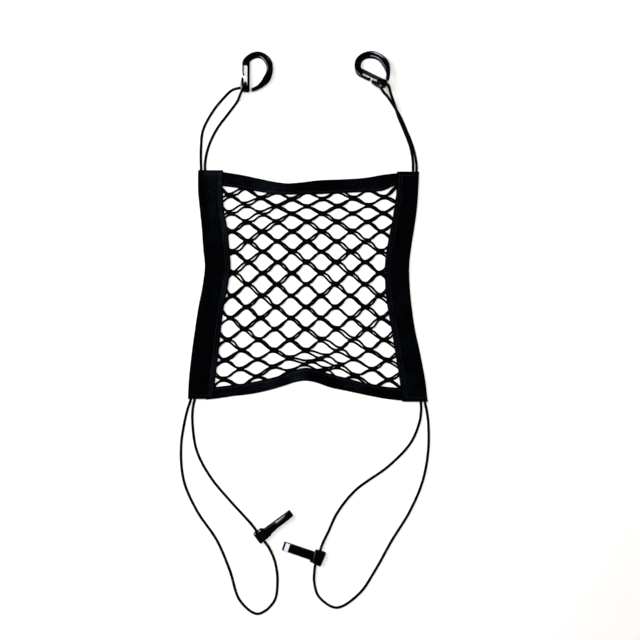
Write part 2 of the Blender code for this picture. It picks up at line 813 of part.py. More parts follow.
def clip(name, spot, home, helpers):
    matrix = clip_matrix(spot)
    lowest = min(corner.y for corner in CLIP_TONGUE)
    drop = 0.0 if spot.on_side else -(spot.block_z / 2 + lowest)
    bm = bmesh.new()
    ring = [bm.verts.new((p.x, -CLIP_STRAP_WIDTH / 2, p.y + drop)) for p in CLIP_TONGUE]
    side = bm.faces.new(ring)
    pushed = bmesh.ops.extrude_face_region(bm, geom=[side])
    far = [item for item in pushed["geom"] if isinstance(item, bmesh.types.BMVert)]
    bmesh.ops.translate(bm, vec=(0, CLIP_STRAP_WIDTH, 0), verts=far)
    bmesh.ops.transform(bm, matrix=matrix, verts=bm.verts)
    made = add_object(name, bm, GLOSS_BLACK, 0.15, False, home)

    block = bmesh.new()
    bmesh.ops.create_cube(block, size=1.0)
    bmesh.ops.scale(block, vec=(CLIP_BLOCK_LENGTH, spot.block_y, spot.block_z), verts=block.verts)
    bmesh.ops.bevel(
        block, geom=block.edges[:], offset=CLIP_EDGE, segments=2, profile=0.5, affect="EDGES"
    )
    bmesh.ops.transform(block, matrix=matrix, verts=block.verts)
    block_object = add_object(name + "_block", block, GLOSS_BLACK, 0.15, False, helpers)

    bore = bmesh.new()
    radius = CORD_HOLE / 2
    length = 2 * max(spot.block_y, spot.block_z)
    bmesh.ops.create_cone(
        bore, cap_ends=True, segments=16, radius1=radius, radius2=radius, depth=length
    )
    turn = Matrix.Identity(4) if spot.on_side else Matrix.Rotation(math.pi / 2, 4, "X")
    along = Matrix.Translation((spot.bore_x, 0, 0))
    bmesh.ops.transform(bore, matrix=matrix @ along @ turn, verts=bore.verts)
    bore_object = add_object(name + "_bore", bore, GLOSS_BLACK, 0.15, False, helpers)

    steps = [(block_object, "UNION"), (bore_object, "DIFFERENCE")]
    if spot.on_side:
        # The side that lies uppermost is open above the cord.
        mouth = bmesh.new()
        bmesh.ops.create_cube(mouth, size=1.0)
        bmesh.ops.scale(mouth, vec=(CLIP_MOUTH, spot.block_y, length), verts=mouth.verts)
        above = Matrix.Translation((spot.bore_x, spot.block_y / 2, 0))
        bmesh.ops.transform(mouth, matrix=matrix @ above, verts=mouth.verts)
        mouth_object = add_object(name + "_mouth", mouth, GLOSS_BLACK, 0.15, False, helpers)
        steps.append((mouth_object, "DIFFERENCE"))
    for helper, operation in steps:
        helper.hide_render = True
        helper.display_type = "WIRE"
        step = made.modifiers.new(helper.name, "BOOLEAN")
        step.operation = operation
        step.solver = "EXACT"
        step.object = helper
    return made


clear_scene()
parts = new_collection("cargo_net")
cutters = new_collection("cutters", is_helper=True)

side_band("side_band_left", LEFT_BAND, left_outer, left_inner, parts)
side_band("side_band_right", RIGHT_BAND, right_outer, right_inner, parts)
end_band("top_band", top_outer, top_inner, parts)
end_band("bottom_band", bottom_outer, bottom_inner, parts)
net_layer("net_back", BACK_LAYER, parts)
net_layer("net_front", FRONT_LAYER, parts)
hook("hook_left", LEFT_HOOK, parts)
hook("hook_right", RIGHT_HOOK, parts)
clip("toggle_left", LEFT_CLIP, parts, cutters)
clip("toggle_right", RIGHT_CLIP, parts, cutters)
left_turn = LEFT_HOOK_IN + HOOK_TURN + LEFT_HOOK_OUT
right_turn = RIGHT_HOOK_IN + HOOK_TURN + RIGHT_HOOK_OUT
hook_cord("cord_top_left", TOP_LEFT_OUT, left_turn, TOP_LEFT_BACK, LEFT_HOOK, parts)
hook_cord("cord_top_right", TOP_RIGHT_OUT, right_turn, TOP_RIGHT_BACK, RIGHT_HOOK, parts)
cord("cord_bottom_left", stops(BOTTOM_LEFT_LOOP), (0, 0), parts)
cord("cord_bottom_right", stops(BOTTOM_RIGHT_LOOP), (0, 0), parts)
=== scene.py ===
import math

import bmesh
import bpy
import numpy as np
from mathutils import Matrix, Vector, noise


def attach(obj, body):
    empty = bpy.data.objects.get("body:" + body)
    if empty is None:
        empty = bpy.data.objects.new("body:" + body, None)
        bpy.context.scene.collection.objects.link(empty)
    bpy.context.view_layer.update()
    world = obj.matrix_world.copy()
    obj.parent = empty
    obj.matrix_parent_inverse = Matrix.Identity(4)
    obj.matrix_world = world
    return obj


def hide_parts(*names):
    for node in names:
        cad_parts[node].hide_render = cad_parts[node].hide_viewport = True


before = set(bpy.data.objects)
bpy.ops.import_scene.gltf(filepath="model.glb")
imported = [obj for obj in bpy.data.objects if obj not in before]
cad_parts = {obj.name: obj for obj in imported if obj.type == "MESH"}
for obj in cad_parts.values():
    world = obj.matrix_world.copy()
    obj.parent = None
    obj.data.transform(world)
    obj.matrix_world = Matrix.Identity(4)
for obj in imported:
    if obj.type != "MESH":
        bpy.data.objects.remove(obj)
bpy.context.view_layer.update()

mm = 0.001
unit = 1.2  # the plan tables count in units of 1.2 mm, X to the right and Y down
print("frame loaded:", len(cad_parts), "nodes")


def plan(x, y):
    return (x - 307.8) * unit, (286.1 - y) * unit


def hermite(t, start, leaving, stop, arriving):
    return (
        (1 + 2 * t) * (1 - t) ** 2 * start + t * (1 - t) ** 2 * leaving
        + t * t * (3 - 2 * t) * stop + t * t * (t - 1) * arriving
    )


def through(spots, values):
    # A smooth function through points, level beyond its ends
    order = np.argsort(spots)
    spots = np.asarray(spots, float)[order]
    values = np.asarray(values, float)[order]
    slopes = np.gradient(values, spots)

    def at(where):
        i = np.clip(np.searchsorted(spots, where) - 1, 0, len(spots) - 2)
        step = spots[i + 1] - spots[i]
        t = np.clip((where - spots[i]) / step, 0.0, 1.0)
        return float(hermite(t, values[i], step * slopes[i], values[i + 1], step * slopes[i + 1]))

    return at


def ease(t):
    t = min(max(t, 0.0), 1.0)
    return t * t * (3 - 2 * t)


overhead = {"above": (14.64, -40.68), "height": 2000.0, "lens": 93.75, "sensor": 36.0}


def addCamera():
    lens = bpy.data.cameras.new("overhead")
    lens.lens = overhead["lens"]
    lens.sensor_width = overhead["sensor"]
    camera = bpy.data.objects.new("overhead", lens)
    x, y = overhead["above"]
    camera.location = (x * mm, y * mm, overhead["height"] * mm)
    bpy.context.scene.collection.objects.link(camera)
    bpy.context.scene.camera = camera


addCamera()


class Wire:
    # A socket that adds Math nodes when it is used in a sum
    def __init__(self, tree, socket=None):
        self.tree = tree
        self.socket = socket

    def node(self, kind, settings=None, sockets=None, out=0):
        made = self.tree.nodes.new(kind)
        for name, value in (settings or {}).items():
            setattr(made, name, value)
        for name, value in (sockets or {}).items():
            if isinstance(value, Wire):
                self.tree.links.new(value.socket, made.inputs[name])
            else:
                made.inputs[name].default_value = value
        return Wire(self.tree, made.outputs[out])

    def maths(self, operation, left, right=0.0):
        return self.node("ShaderNodeMath", {"operation": operation}, {0: left, 1: right})

    def __add__(self, other):
        return self.maths("ADD", self, other)

    def __radd__(self, other):
        return self.maths("ADD", other, self)

    def __sub__(self, other):
        return self.maths("SUBTRACT", self, other)

    def __rsub__(self, other):
        return self.maths("SUBTRACT", other, self)

    def __mul__(self, other):
        return self.maths("MULTIPLY", self, other)

    def __rmul__(self, other):
        return self.maths("MULTIPLY", other, self)

    def __truediv__(self, other):
        return self.maths("DIVIDE", self, other)

    def __pow__(self, other):
        return self.maths("POWER", self, other)

    def waves(self, perUnit, shift=0.0):
        # Rises and falls between 0 and 1, perUnit times in each unit
        return self.maths("COSINE", self * (2 * math.pi * perUnit) + shift) * 0.5 + 0.5

    def clamped(self):
        return self.maths("MINIMUM", self.maths("MAXIMUM", self, 0.0), 1.0)

    def blend(self, low, high):
        # A colour from low to high as this goes from 0 to 1
        settings = {"data_type": "RGBA", "clamp_factor": True}
        return self.node("ShaderNodeMix", settings, {0: self, 6: low, 7: high}, out=2)

    def noise(self, scale, detail=2.0, roughness=0.5):
        sockets = {"Scale": scale, "Detail": detail, "Roughness": roughness}
        return self.node("ShaderNodeTexNoise", {}, {"Vector": self.place(), **sockets})

    def place(self):
        return self.node("ShaderNodeTexCoord", out=3)

    def cloth(self):
        # Across a strip and along it in metres, or round a cord in turns and along it
        marks = self.node("ShaderNodeUVMap", {"uv_map": "cloth"})
        return [self.node("ShaderNodeSeparateXYZ", {}, {0: marks}, out=k) for k in (0, 1)]

    def bump(self, height, strength, reach):
        sockets = {"Height": height, "Strength": strength, "Distance": reach}
        return self.node("ShaderNodeBump", {}, sockets)


def grey(value, blue=1.25):
    # A near-black with the faint blue that the dyed fabric has
    return (value * 0.78, value, value * blue, 1.0)


def makeFinish(name, constants, paint):
    made = bpy.data.materials.new(name)
    made.use_nodes = True
    shader = made.node_tree.nodes["Principled BSDF"]
    for socket, value in constants.items():
        shader.inputs[socket].default_value = value
    for socket, wire in paint(Wire(made.node_tree)).items():
        made.node_tree.links.new(wire.socket, shader.inputs[socket])
    return made


def clothFinish(name, look, weave):
    # The weave gives how far the yarn shows, the relief and the colour of the yarn, which on the
    # webbing holds painted sheen
    def paint(wire):
        shown, relief, light = weave(wire, look)
        low, high = look["roughness"]
        return {
            "Base Color": shown.blend(look["dark"], light),
            "Roughness": high - shown * (high - low),
            "Normal": wire.bump(relief, look["strength"], look["relief"]),
        }

    return makeFinish(name, {"Specular IOR Level": 0.0}, paint)


# The two lighter webbing colours are painted sheen: one on the rib tops, one on the marked stretches
# and random paler patches
webbingLook = {
    "dark": grey(0.0003), "ribSheen": grey(0.0014, 1.5), "patchAndSheen": grey(0.0135, 1.5),
    "ribPitch": 2.7 * mm, "pickPitch": 1.15 * mm, "fuzz": 1500.0, "mottle": 420.0,
    "patchScale": 26.0, "roughness": (0.62, 0.9), "strength": 0.8, "relief": 0.35 * mm,
}


def webbingWeave(wire, look):
    across, along = wire.cloth()
    ribs = across.waves(1 / look["ribPitch"])
    # Neighbouring ribs take their picks half a step apart
    rib = wire.maths("FLOOR", across / look["ribPitch"] + 0.5)
    picks = along.waves(1 / look["pickPitch"], rib * math.pi)
    threads = across.waves(3 / look["ribPitch"])
    fuzz, mottle = wire.noise(look["fuzz"]), wire.noise(look["mottle"])
    patches = wire.noise(look["patchScale"], 3.0, 0.6)
    # Painted sheen: stretches painted lighter where the cloth would face the light, marked on the
    # cloth itself
    paintedSheen = wire.node("ShaderNodeAttribute", {"attribute_name": "paintedSheen"}, out=2)
    uneven = ((mottle - 0.5) * 4.0 + 0.5).clamped() * 1.5 + 0.25
    # The yarn on the rib tops is painted lighter and bluer, a painted sheen
    shown = ((0.15 + ribs * (0.35 + 0.65 * picks) * (0.5 + fuzz)) * uneven).clamped()
    # Random paler patches of the cloth's own tone, plus painted sheen on the marked stretches
    toneAndSheen = ((patches - 0.52) * 1.6 + paintedSheen * (0.45 + patches)).clamped()
    relief = ribs * 0.5 + ribs * picks * 0.3 + threads * 0.08 + fuzz * 0.22
    return shown, relief, toneAndSheen.blend(look["ribSheen"], look["patchAndSheen"])


threadLook = {
    "dark": grey(0.0050, 1.5), "light": grey(0.0300, 1.5), "twist": 900.0,
    "roughness": (0.65, 0.85), "strength": 0.5, "relief": 0.1 * mm,
}


def threadWeave(wire, look):
    twist = wire.noise(look["twist"])
    return ((twist - 0.5) * 2.5 + 0.5).clamped(), twist, look["light"]


netLook = {
    "dark": grey(0.0004, 1.1), "light": grey(0.0030, 1.2), "stitch": 1.7 * mm, "fuzz": 1900.0,
    "roughness": (0.6, 0.85), "strength": 0.7, "relief": 0.22 * mm,
}


def netWeave(wire, look):
    around, along = wire.cloth()
    # A chain of V stitches down the top and the bottom of every strand
    arms = wire.maths("ABSOLUTE", wire.maths("FRACT", around * 2.0) - 0.5)
    chain = along.waves(1 / look["stitch"], arms * 9.0)
    fuzz = wire.noise(look["fuzz"])
    return (chain * (0.4 + fuzz)).clamped(), chain * 0.7 + fuzz * 0.3, look["light"]


cordLook = {
    "dark": grey(0.0004), "light": grey(0.0050, 1.3), "carriers": 8.0, "pitch": 3.4 * mm,
    "fuzz": 2200.0, "roughness": (0.5, 0.8), "strength": 0.7, "relief": 0.3 * mm,
}


def cordWeave(wire, look):
    around, along = wire.cloth()
    turns = around * look["carriers"]
    rise = along / look["pitch"] * 2
    braid = wire.maths("MAXIMUM", (turns + rise).waves(1.0), (turns - rise).waves(1.0))
    fuzz = wire.noise(look["fuzz"], 1.0)
    return (braid ** 2 * (0.35 + fuzz)).clamped(), braid * 0.8 + fuzz * 0.2, look["light"]


plasticLook = {"cloudy": 160.0, "fine": 1400.0, "scuffs": 420.0, "relief": 0.08 * mm, "ior": 1.49}
hookLook = {"dark": grey(0.0002), "light": grey(0.0007, 1.4), "roughness": 0.10, "gloss": 0.60}
clipLook = {"dark": grey(0.0002), "light": grey(0.0008, 1.4), "roughness": 0.08, "gloss": 0.70}


def plasticFinish(name, look):
    def paint(wire):
        cloudy, fine = wire.noise(plasticLook["cloudy"], 4.0), wire.noise(plasticLook["fine"], 3.0)
        scuffs = wire.node(
            "ShaderNodeTexVoronoi", {"feature": "DISTANCE_TO_EDGE"},
            {"Vector": wire.place(), "Scale": plasticLook["scuffs"]},
        )
        scuffed = (1.0 - scuffs * 22.0).clamped() * cloudy
        return {
            "Base Color": cloudy.blend(look["dark"], look["light"]),
            "Roughness": (look["roughness"] + cloudy * 0.05 + scuffed * 0.08).clamped(),
            "Normal": wire.bump(cloudy * 0.5 + fine * 0.2, 0.15, plasticLook["relief"]),
        }

    return makeFinish(name, {"Specular IOR Level": look["gloss"], "IOR": plasticLook["ior"]}, paint)


webbing = clothFinish("webbing", webbingLook, webbingWeave)
sewing = clothFinish("sewing_thread", threadLook, threadWeave)
netKnit = clothFinish("knitted_net", netLook, netWeave)
elastic = clothFinish("braided_elastic", cordLook, cordWeave)
hookPlastic = plasticFinish("hook_plastic", hookLook)
clipPlastic = plasticFinish("clip_plastic", clipLook)
print("finishes made")


def travel(line):
    # How far along a line each of its points is
    return np.concatenate([[0.0], np.cumsum(np.linalg.norm(np.diff(line, axis=0), axis=1))])


def pointsAt(line, marks):
    travelled = travel(line)
    return np.stack([np.interp(marks, travelled, line[:, k]) for k in range(3)], axis=1)


def sweep(line, wide, high, sides, level=False):
    # Rings of points round a line, with the section's half width and half height at each point
    line = np.asarray(line, float)
    count = len(line)
    wide, high = np.broadcast_to(wide, count), np.broadcast_to(high, count)
    ahead = np.gradient(line, axis=0)
    ahead /= np.linalg.norm(ahead, axis=1)[:, None]
    travelled = travel(line) * mm
    upright = (0.0, 0.0, 1.0)
    side = np.cross(upright, ahead[0])
    turns = np.linspace(0.0, 2 * math.pi, sides, endpoint=False)
    points, faces, marks = [], [], []
    for i in range(count):
        if level:
            side = np.cross(upright, ahead[i])
        side = side - ahead[i] * side.dot(ahead[i])
        side /= np.linalg.norm(side)
        up = np.cross(ahead[i], side)
        for turn in turns:
            offset = side * (math.cos(turn) * wide[i]) + up * (math.sin(turn) * high[i])
            points.append(tuple(line[i] + offset))
    for i in range(count - 1):
        base, after = i * sides, (i + 1) * sides
        start, stop = travelled[i : i + 2]
        for j in range(sides):
            k = (j + 1) % sides
            faces.append((base + j, base + k, after + k, after + j))
            left, right = j / sides, (j + 1) / sides
            marks += [(left, start), (right, start), (right, stop), (left, stop)]
    faces += [tuple(range(sides))[::-1], tuple(range((count - 1) * sides, count * sides))]
    marks += [(0.0, 0.0)] * sides + [(0.0, travelled[-1])] * sides
    return points, faces, marks


def meshPiece(name, chunks, finish):
    # One object in metres from chunks in millimetres
    points, faces, marks = [], [], []
    for somePoints, someFaces, someMarks in chunks:
        base = len(points)
        points += [(x * mm, y * mm, z * mm) for x, y, z in somePoints]
        faces += [tuple(base + i for i in face) for face in someFaces]
        marks += someMarks
    mesh = bpy.data.meshes.new(name)
    mesh.from_pydata(points, [], faces)
    mesh.polygons.foreach_set("use_smooth", [True] * len(faces))
    layer = mesh.uv_layers.new(name="cloth")
    layer.data.foreach_set("uv", np.asarray(marks, float).ravel())
    mesh.materials.append(finish)
    mesh.update()
    piece = bpy.data.objects.new(name, mesh)
    bpy.context.scene.collection.objects.link(piece)
    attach(piece, "root")
    return piece


cordSize = {"diameter": 3.2, "step": 1.3, "sides": 16}

# Stops of the cords on the plan; one without a height lies on the surface
topLeftOut = [
    (201.4, 183.5, 3.3), (201.4, 173.5, 3.3), (201.0, 161.5, 2.1), (201.1, 147.5), (203.1, 130.5),
    (213.7, 110.5), (223.9, 98.1), (231.9, 90.5),
]
topLeftBack = [
    (237.4, 101.9, 3.6), (230.2, 111.5, 1.7), (216.2, 130.5), (208.4, 147.5), (205.4, 161.5, 2.1),
    (205.2, 173.5, 3.3), (205.4, 183.5, 3.3),
]
topRightOut = [
    (415.9, 184.0, 3.3), (416.3, 173.5, 3.3), (416.2, 163.0, 2.1), (412.7, 147.0), (406.0, 130.0),
    (400.6, 118.0, 2.8), (393.4, 106.4, 6.8), (386.8, 97.4, 11.8),
]
topRightBack = [
    (390.4, 96.8, 18.8), (394.4, 106.6, 11.6), (398.0, 117.0, 6.6), (403.4, 129.6, 4.2),
    (410.1, 147.0, 3.6), (412.9, 163.0, 3.2), (412.7, 173.5, 3.3), (412.3, 184.0, 3.3),
]
bottomLeftLoop = [
    (191.8, 386.5, 3.3), (191.4, 397.5, 3.3), (187.9, 408.5, 2.1), (184.9, 420.5), (181.1, 447.5),
    (183.9, 480.5), (196.9, 510.5), (217.1, 540.5), (229.9, 570.5), (240.1, 600.5), (257.6, 613.6),
    (273.9, 601.5), (277.5, 580.5), (275.0, 561.6, 2.0), (269.4, 547.9, 4.8), (265.9, 542.5, 5.9),
    (260.5, 535.4, 6.0), (255.1, 528.3, 5.9), (251.2, 523.4, 4.8), (242.6, 514.2, 2.0),
    (230.0, 500.5), (210.5, 476.9), (196.8, 450.5), (192.5, 422.5), (192.9, 408.5, 2.1),
    (195.1, 397.5, 3.3), (195.3, 386.5, 3.3),
]
bottomRightLoop = [
    (423.4, 389.5, 3.3), (424.4, 400.1, 3.3), (426.7, 411.5, 2.1), (428.3, 424.5), (428.1, 450.5),
    (422.7, 480.5), (410.1, 510.5), (391.7, 540.5), (375.0, 570.3), (359.0, 593.6), (336.4, 607.4),
    (318.9, 596.5), (314.3, 582.5, 1.8), (314.3, 572.0, 4.4), (315.0, 565.6, 5.4),
    (317.9, 556.9, 5.5), (320.8, 548.2, 5.4), (323.1, 542.0, 4.4), (327.9, 532.4, 1.8),
    (337.4, 512.5), (355.1, 490.5), (389.1, 465.5), (410.5, 442.9), (419.3, 422.5),
    (420.9, 411.5, 2.1), (420.7, 400.1, 3.3), (419.9, 389.5, 3.3),
]
# In the hook's own plan: under the hook, up through its slot and back over its end
leftHookIn = [(-19.8, 16.6, -5.3), (-16.6, 15.9, -5.6)]
rightHookIn = [(-18.9, 23.0, -5.7), (-16.4, 18.4, -5.7)]
hookTurn = [
    (-14.0, 14.8, -4.9), (-13.3, 13.5, -2.6), (-13.2, 13.1, 0.0), (-13.3, 13.5, 2.7),
    (-13.5, 15.4, 5.2),
]
leftHookOut = [(-14.6, 18.2, 6.0), (-16.2, 21.6, 5.8), (-18.0, 25.2, 4.4)]
rightHookOut = [(-13.4, 18.4, 6.0), (-13.3, 21.8, 6.0), (-13.8, 25.6, 4.9)]
# Where each hook lies: plan place, height of its middle, turn in plan, and the tip that
# lifts its slotted end off the surface about the direction in raised
leftHook = {"x": 259.0, "y": 71.4, "height": 6.4835, "turn": 0.0, "raised": -90.0, "tip": 8.0}
rightHook = {"x": 373.6, "y": 67.1, "height": 10.6726, "turn": 59.0, "raised": -72.0, "tip": 22.0}


def hookMatrix(place):
    raised = math.radians(place["raised"])
    axis = Vector((math.sin(raised), -math.cos(raised), 0.0))
    tip = Matrix.Rotation(math.radians(place["tip"]), 4, axis)
    turn = Matrix.Rotation(math.radians(place["turn"]), 4, "Z")
    x, y = plan(place["x"], place["y"])
    return Matrix.Translation((x, y, place["height"])) @ tip @ turn


def smoothLine(stops, step):
    # Evenly spaced points on a smooth curve through the stops
    stops = [np.asarray(stop, float) for stop in stops]
    padded = [2 * stops[0] - stops[1]] + stops + [2 * stops[-1] - stops[-2]]
    dense = []
    for i in range(1, len(padded) - 2):
        spots = padded[i - 1 : i + 3]
        knots = [0.0]
        for before, after in zip(spots, spots[1:]):
            knots.append(knots[-1] + max(np.linalg.norm(after - before), 1e-6) ** 0.5)
        for t in np.linspace(knots[1], knots[2], 40, endpoint=False):

            def mix(left, right, j, k):
                return (left * (knots[k] - t) + right * (t - knots[j])) / (knots[k] - knots[j])

            ab, bc, cd = (mix(spots[k], spots[k + 1], k, k + 1) for k in range(3))
            dense.append(mix(mix(ab, bc, 0, 2), mix(bc, cd, 1, 3), 1, 2))
    dense = np.array(dense + [stops[-1]])
    length = travel(dense)[-1]
    return pointsAt(dense, np.linspace(0.0, length, round(length / step) + 1))


def onPlan(stops):
    return [(*plan(x, y), *(high or [cordSize["diameter"] / 2])) for x, y, *high in stops]


def onHook(place, stops):
    matrix = hookMatrix(place)
    return [tuple(matrix @ Vector((x * unit, -y * unit, z))) for x, y, z in stops]


def addCord(which, stops, length):
    radius = cordSize["diameter"] / 2
    line = smoothLine(stops, cordSize["step"])
    line[:, 2] = np.maximum(line[:, 2], radius)
    chunk = sweep(line, radius, radius, cordSize["sides"])
    piece = meshPiece("elastic_" + which, [chunk], elastic)
    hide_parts("cord_" + which)
    return piece, (line * mm).tolist(), length * mm


leftTurn = onHook(leftHook, leftHookIn + hookTurn + leftHookOut)
rightTurn = onHook(rightHook, rightHookIn + hookTurn + rightHookOut)
cords = {
    which: addCord(which, stops, length)
    for which, stops, length in (
        ("top_left", onPlan(topLeftOut) + leftTurn + onPlan(topLeftBack), 288.8),
        ("top_right", onPlan(topRightOut) + rightTurn + onPlan(topRightBack), 284.8),
        ("bottom_left", onPlan(bottomLeftLoop), 617.9),
        ("bottom_right", onPlan(bottomRightLoop), 621.1),
    )
}
print("cords made")


webbingSize = {
    "thickness": 1.0, "gap": 0.35, "climbFrom": 88.0, "climb": 22.0, "puff": 0.16, "puffReach": 5.0,
}
layerStep = webbingSize["thickness"] + webbingSize["gap"]
bandTop = 3 * layerStep

# Rows of the side bands: y, outer fold, inner edge
leftSide = [
    (170.6, 198.2, 223.0), (190.0, 198.2, 223.0), (210.0, 200.0, 224.0), (230.0, 202.0, 227.6),
    (250.0, 203.4, 229.4), (265.0, 204.9, 230.6), (285.0, 202.8, 228.2), (305.0, 198.9, 224.2),
    (330.0, 195.0, 221.0), (355.0, 191.6, 218.4), (380.0, 189.0, 215.3), (398.8, 188.0, 213.6),
]
rightSide = [
    (172.0, 419.0, 397.0), (190.0, 418.2, 396.6), (207.0, 417.0, 394.4), (227.0, 414.4, 391.0),
    (246.0, 411.4, 387.4), (265.0, 409.2, 385.0), (285.0, 409.6, 385.3), (305.0, 411.4, 387.2),
    (330.0, 415.0, 391.6), (355.0, 420.4, 395.6), (380.0, 425.0, 399.6), (401.6, 427.6, 402.2),
]
# Columns of the top and bottom bands: x, outer fold, inner edge
topEnd = [
    (212.0, 170.8, 184.6), (224.0, 172.3, 186.2), (241.0, 174.9, 188.6), (257.0, 178.3, 191.4),
    (272.0, 181.4, 193.8), (286.0, 183.4, 194.6), (300.0, 182.6, 194.5), (318.0, 180.5, 194.2),
    (342.0, 179.5, 193.1), (366.0, 177.8, 191.9), (383.0, 174.9, 190.6), (395.4, 173.4, 185.6),
    (410.0, 172.4, 183.6),
]
bottomEnd = [
    (203.0, 400.0, 388.6), (218.0, 398.4, 386.8), (234.0, 396.0, 384.8), (250.0, 394.2, 382.6),
    (268.0, 390.5, 378.8), (285.0, 385.6, 374.2), (296.0, 382.0, 369.8), (306.0, 380.8, 367.8),
    (314.0, 382.0, 369.0), (330.0, 387.4, 373.9), (347.0, 391.0, 378.2), (368.0, 395.5, 383.8),
    (384.0, 398.5, 386.6), (402.0, 400.6, 388.0), (412.0, 401.0, 388.6),
]


def edgesOf(rows, isSide):
    # The outer fold and the inner edge of a band, as functions of the place along it
    edges = []
    for column in (1, 2):
        spots = [plan(row[column], row[0]) if isSide else plan(row[0], row[column]) for row in rows]
        edges.append(through(*zip(*(spot[::-1] if isSide else spot for spot in spots))))
    return edges


leftOuter, leftInner = edgesOf(leftSide, True)
rightOuter, rightInner = edgesOf(rightSide, True)
topOuter, topInner = edgesOf(topEnd, False)
bottomOuter, bottomInner = edgesOf(bottomEnd, False)

sideBand = {
    "short": 12.4, "flapPoints": 40, "step": 1.6, "seams": (2.6, 5.8), "seamDepth": 0.42,
    "seamWidth": 0.75, "hem": 6.2, "hemSeam": 1.6, "hemRise": 0.32, "ripple": 0.34,
    "edgeRipple": 0.30,
}
endBand = {
    "short": 0.8, "flapPoints": 24, "step": 1.5, "seams": (2.4,), "seamDepth": 0.38,
    "seamWidth": 0.7, "hem": 0.0, "ripple": 0.22, "edgeRipple": 0.22,
}
# Stretches of painted sheen on each band, painted lighter where the cloth would face the light:
# middle and reach along it in units, strength, and the part of its width from the free edge that they
# take
paintedSheenOn = {
    "left": [(196.0, 34.0, 0.26, (0.34, 0.62)), (173.0, 4.0, 0.5, (0.0, 0.75)),
             (205.0, 34.0, 0.55, (0.07, 0.14)), (285.0, 150.0, 0.22, (0.08, 0.14)),
             (390.0, 26.0, 0.30, (0.08, 0.14))],
    "right": [(380.0, 20.0, 0.12, (0.0, 0.6))],
    "top": [(272.0, 17.0, 0.42, (0.0, 1.0)), (377.0, 8.0, 0.36, (0.0, 1.0)),
            (238.0, 12.0, 0.14, (0.0, 1.0))],
    "bottom": [(268.0, 18.0, 0.55, (0.0, 1.0)), (297.0, 9.0, 0.90, (0.0, 0.9)),
               (352.0, 12.0, 0.22, (0.0, 1.0))],
}


def crumple(x, y, scale, seed):
    return noise.noise(Vector((x / scale, y / scale, seed)))


def bandRelief(values, seed, along, ends, across, width):
    # How far the upper flap stands off its even height: seams, hems and soft waves
    fromEdge = width - across
    rise = 0.0
    for seam in values["seams"]:
        rise -= values["seamDepth"] * math.exp(-(((fromEdge - seam) / values["seamWidth"]) ** 2))
    # Beside the last row of stitching the webbing puffs up a little
    reach = webbingSize["puffReach"]
    puff = max(0.0, 1 - abs(fromEdge - values["seams"][-1] - reach) / reach)
    rise += webbingSize["puff"] * puff * (1 + crumple(along, across, 9.0, seed))
    rise += values["ripple"] * crumple(along, across * 0.6, 21.0, seed + 5)
    rise += values["edgeRipple"] * ease(1 - fromEdge / 4.0) * crumple(along, 0.0, 6.5, seed + 9)
    if values["hem"]:
        fromEnd = min(abs(along - ends[0]), abs(along - ends[1]))
        rise += values["hemRise"] * (1 - ease((fromEnd - values["hem"]) / 1.0))
        rise -= 0.3 * math.exp(-(((fromEnd - values["hem"] + values["hemSeam"]) / 0.6) ** 2))
    return rise


def heightOf(isSide, along):
    # The upper flap's middle; the side bands climb over the ends of the other two
    climb = ease((abs(along) - webbingSize["climbFrom"]) / webbingSize["climb"]) if isSide else 0.0
    return webbingSize["thickness"] / 2 + bandTop + climb * layerStep


def layOn(isSide, along, across):
    return (across, along) if isSide else (along, across)


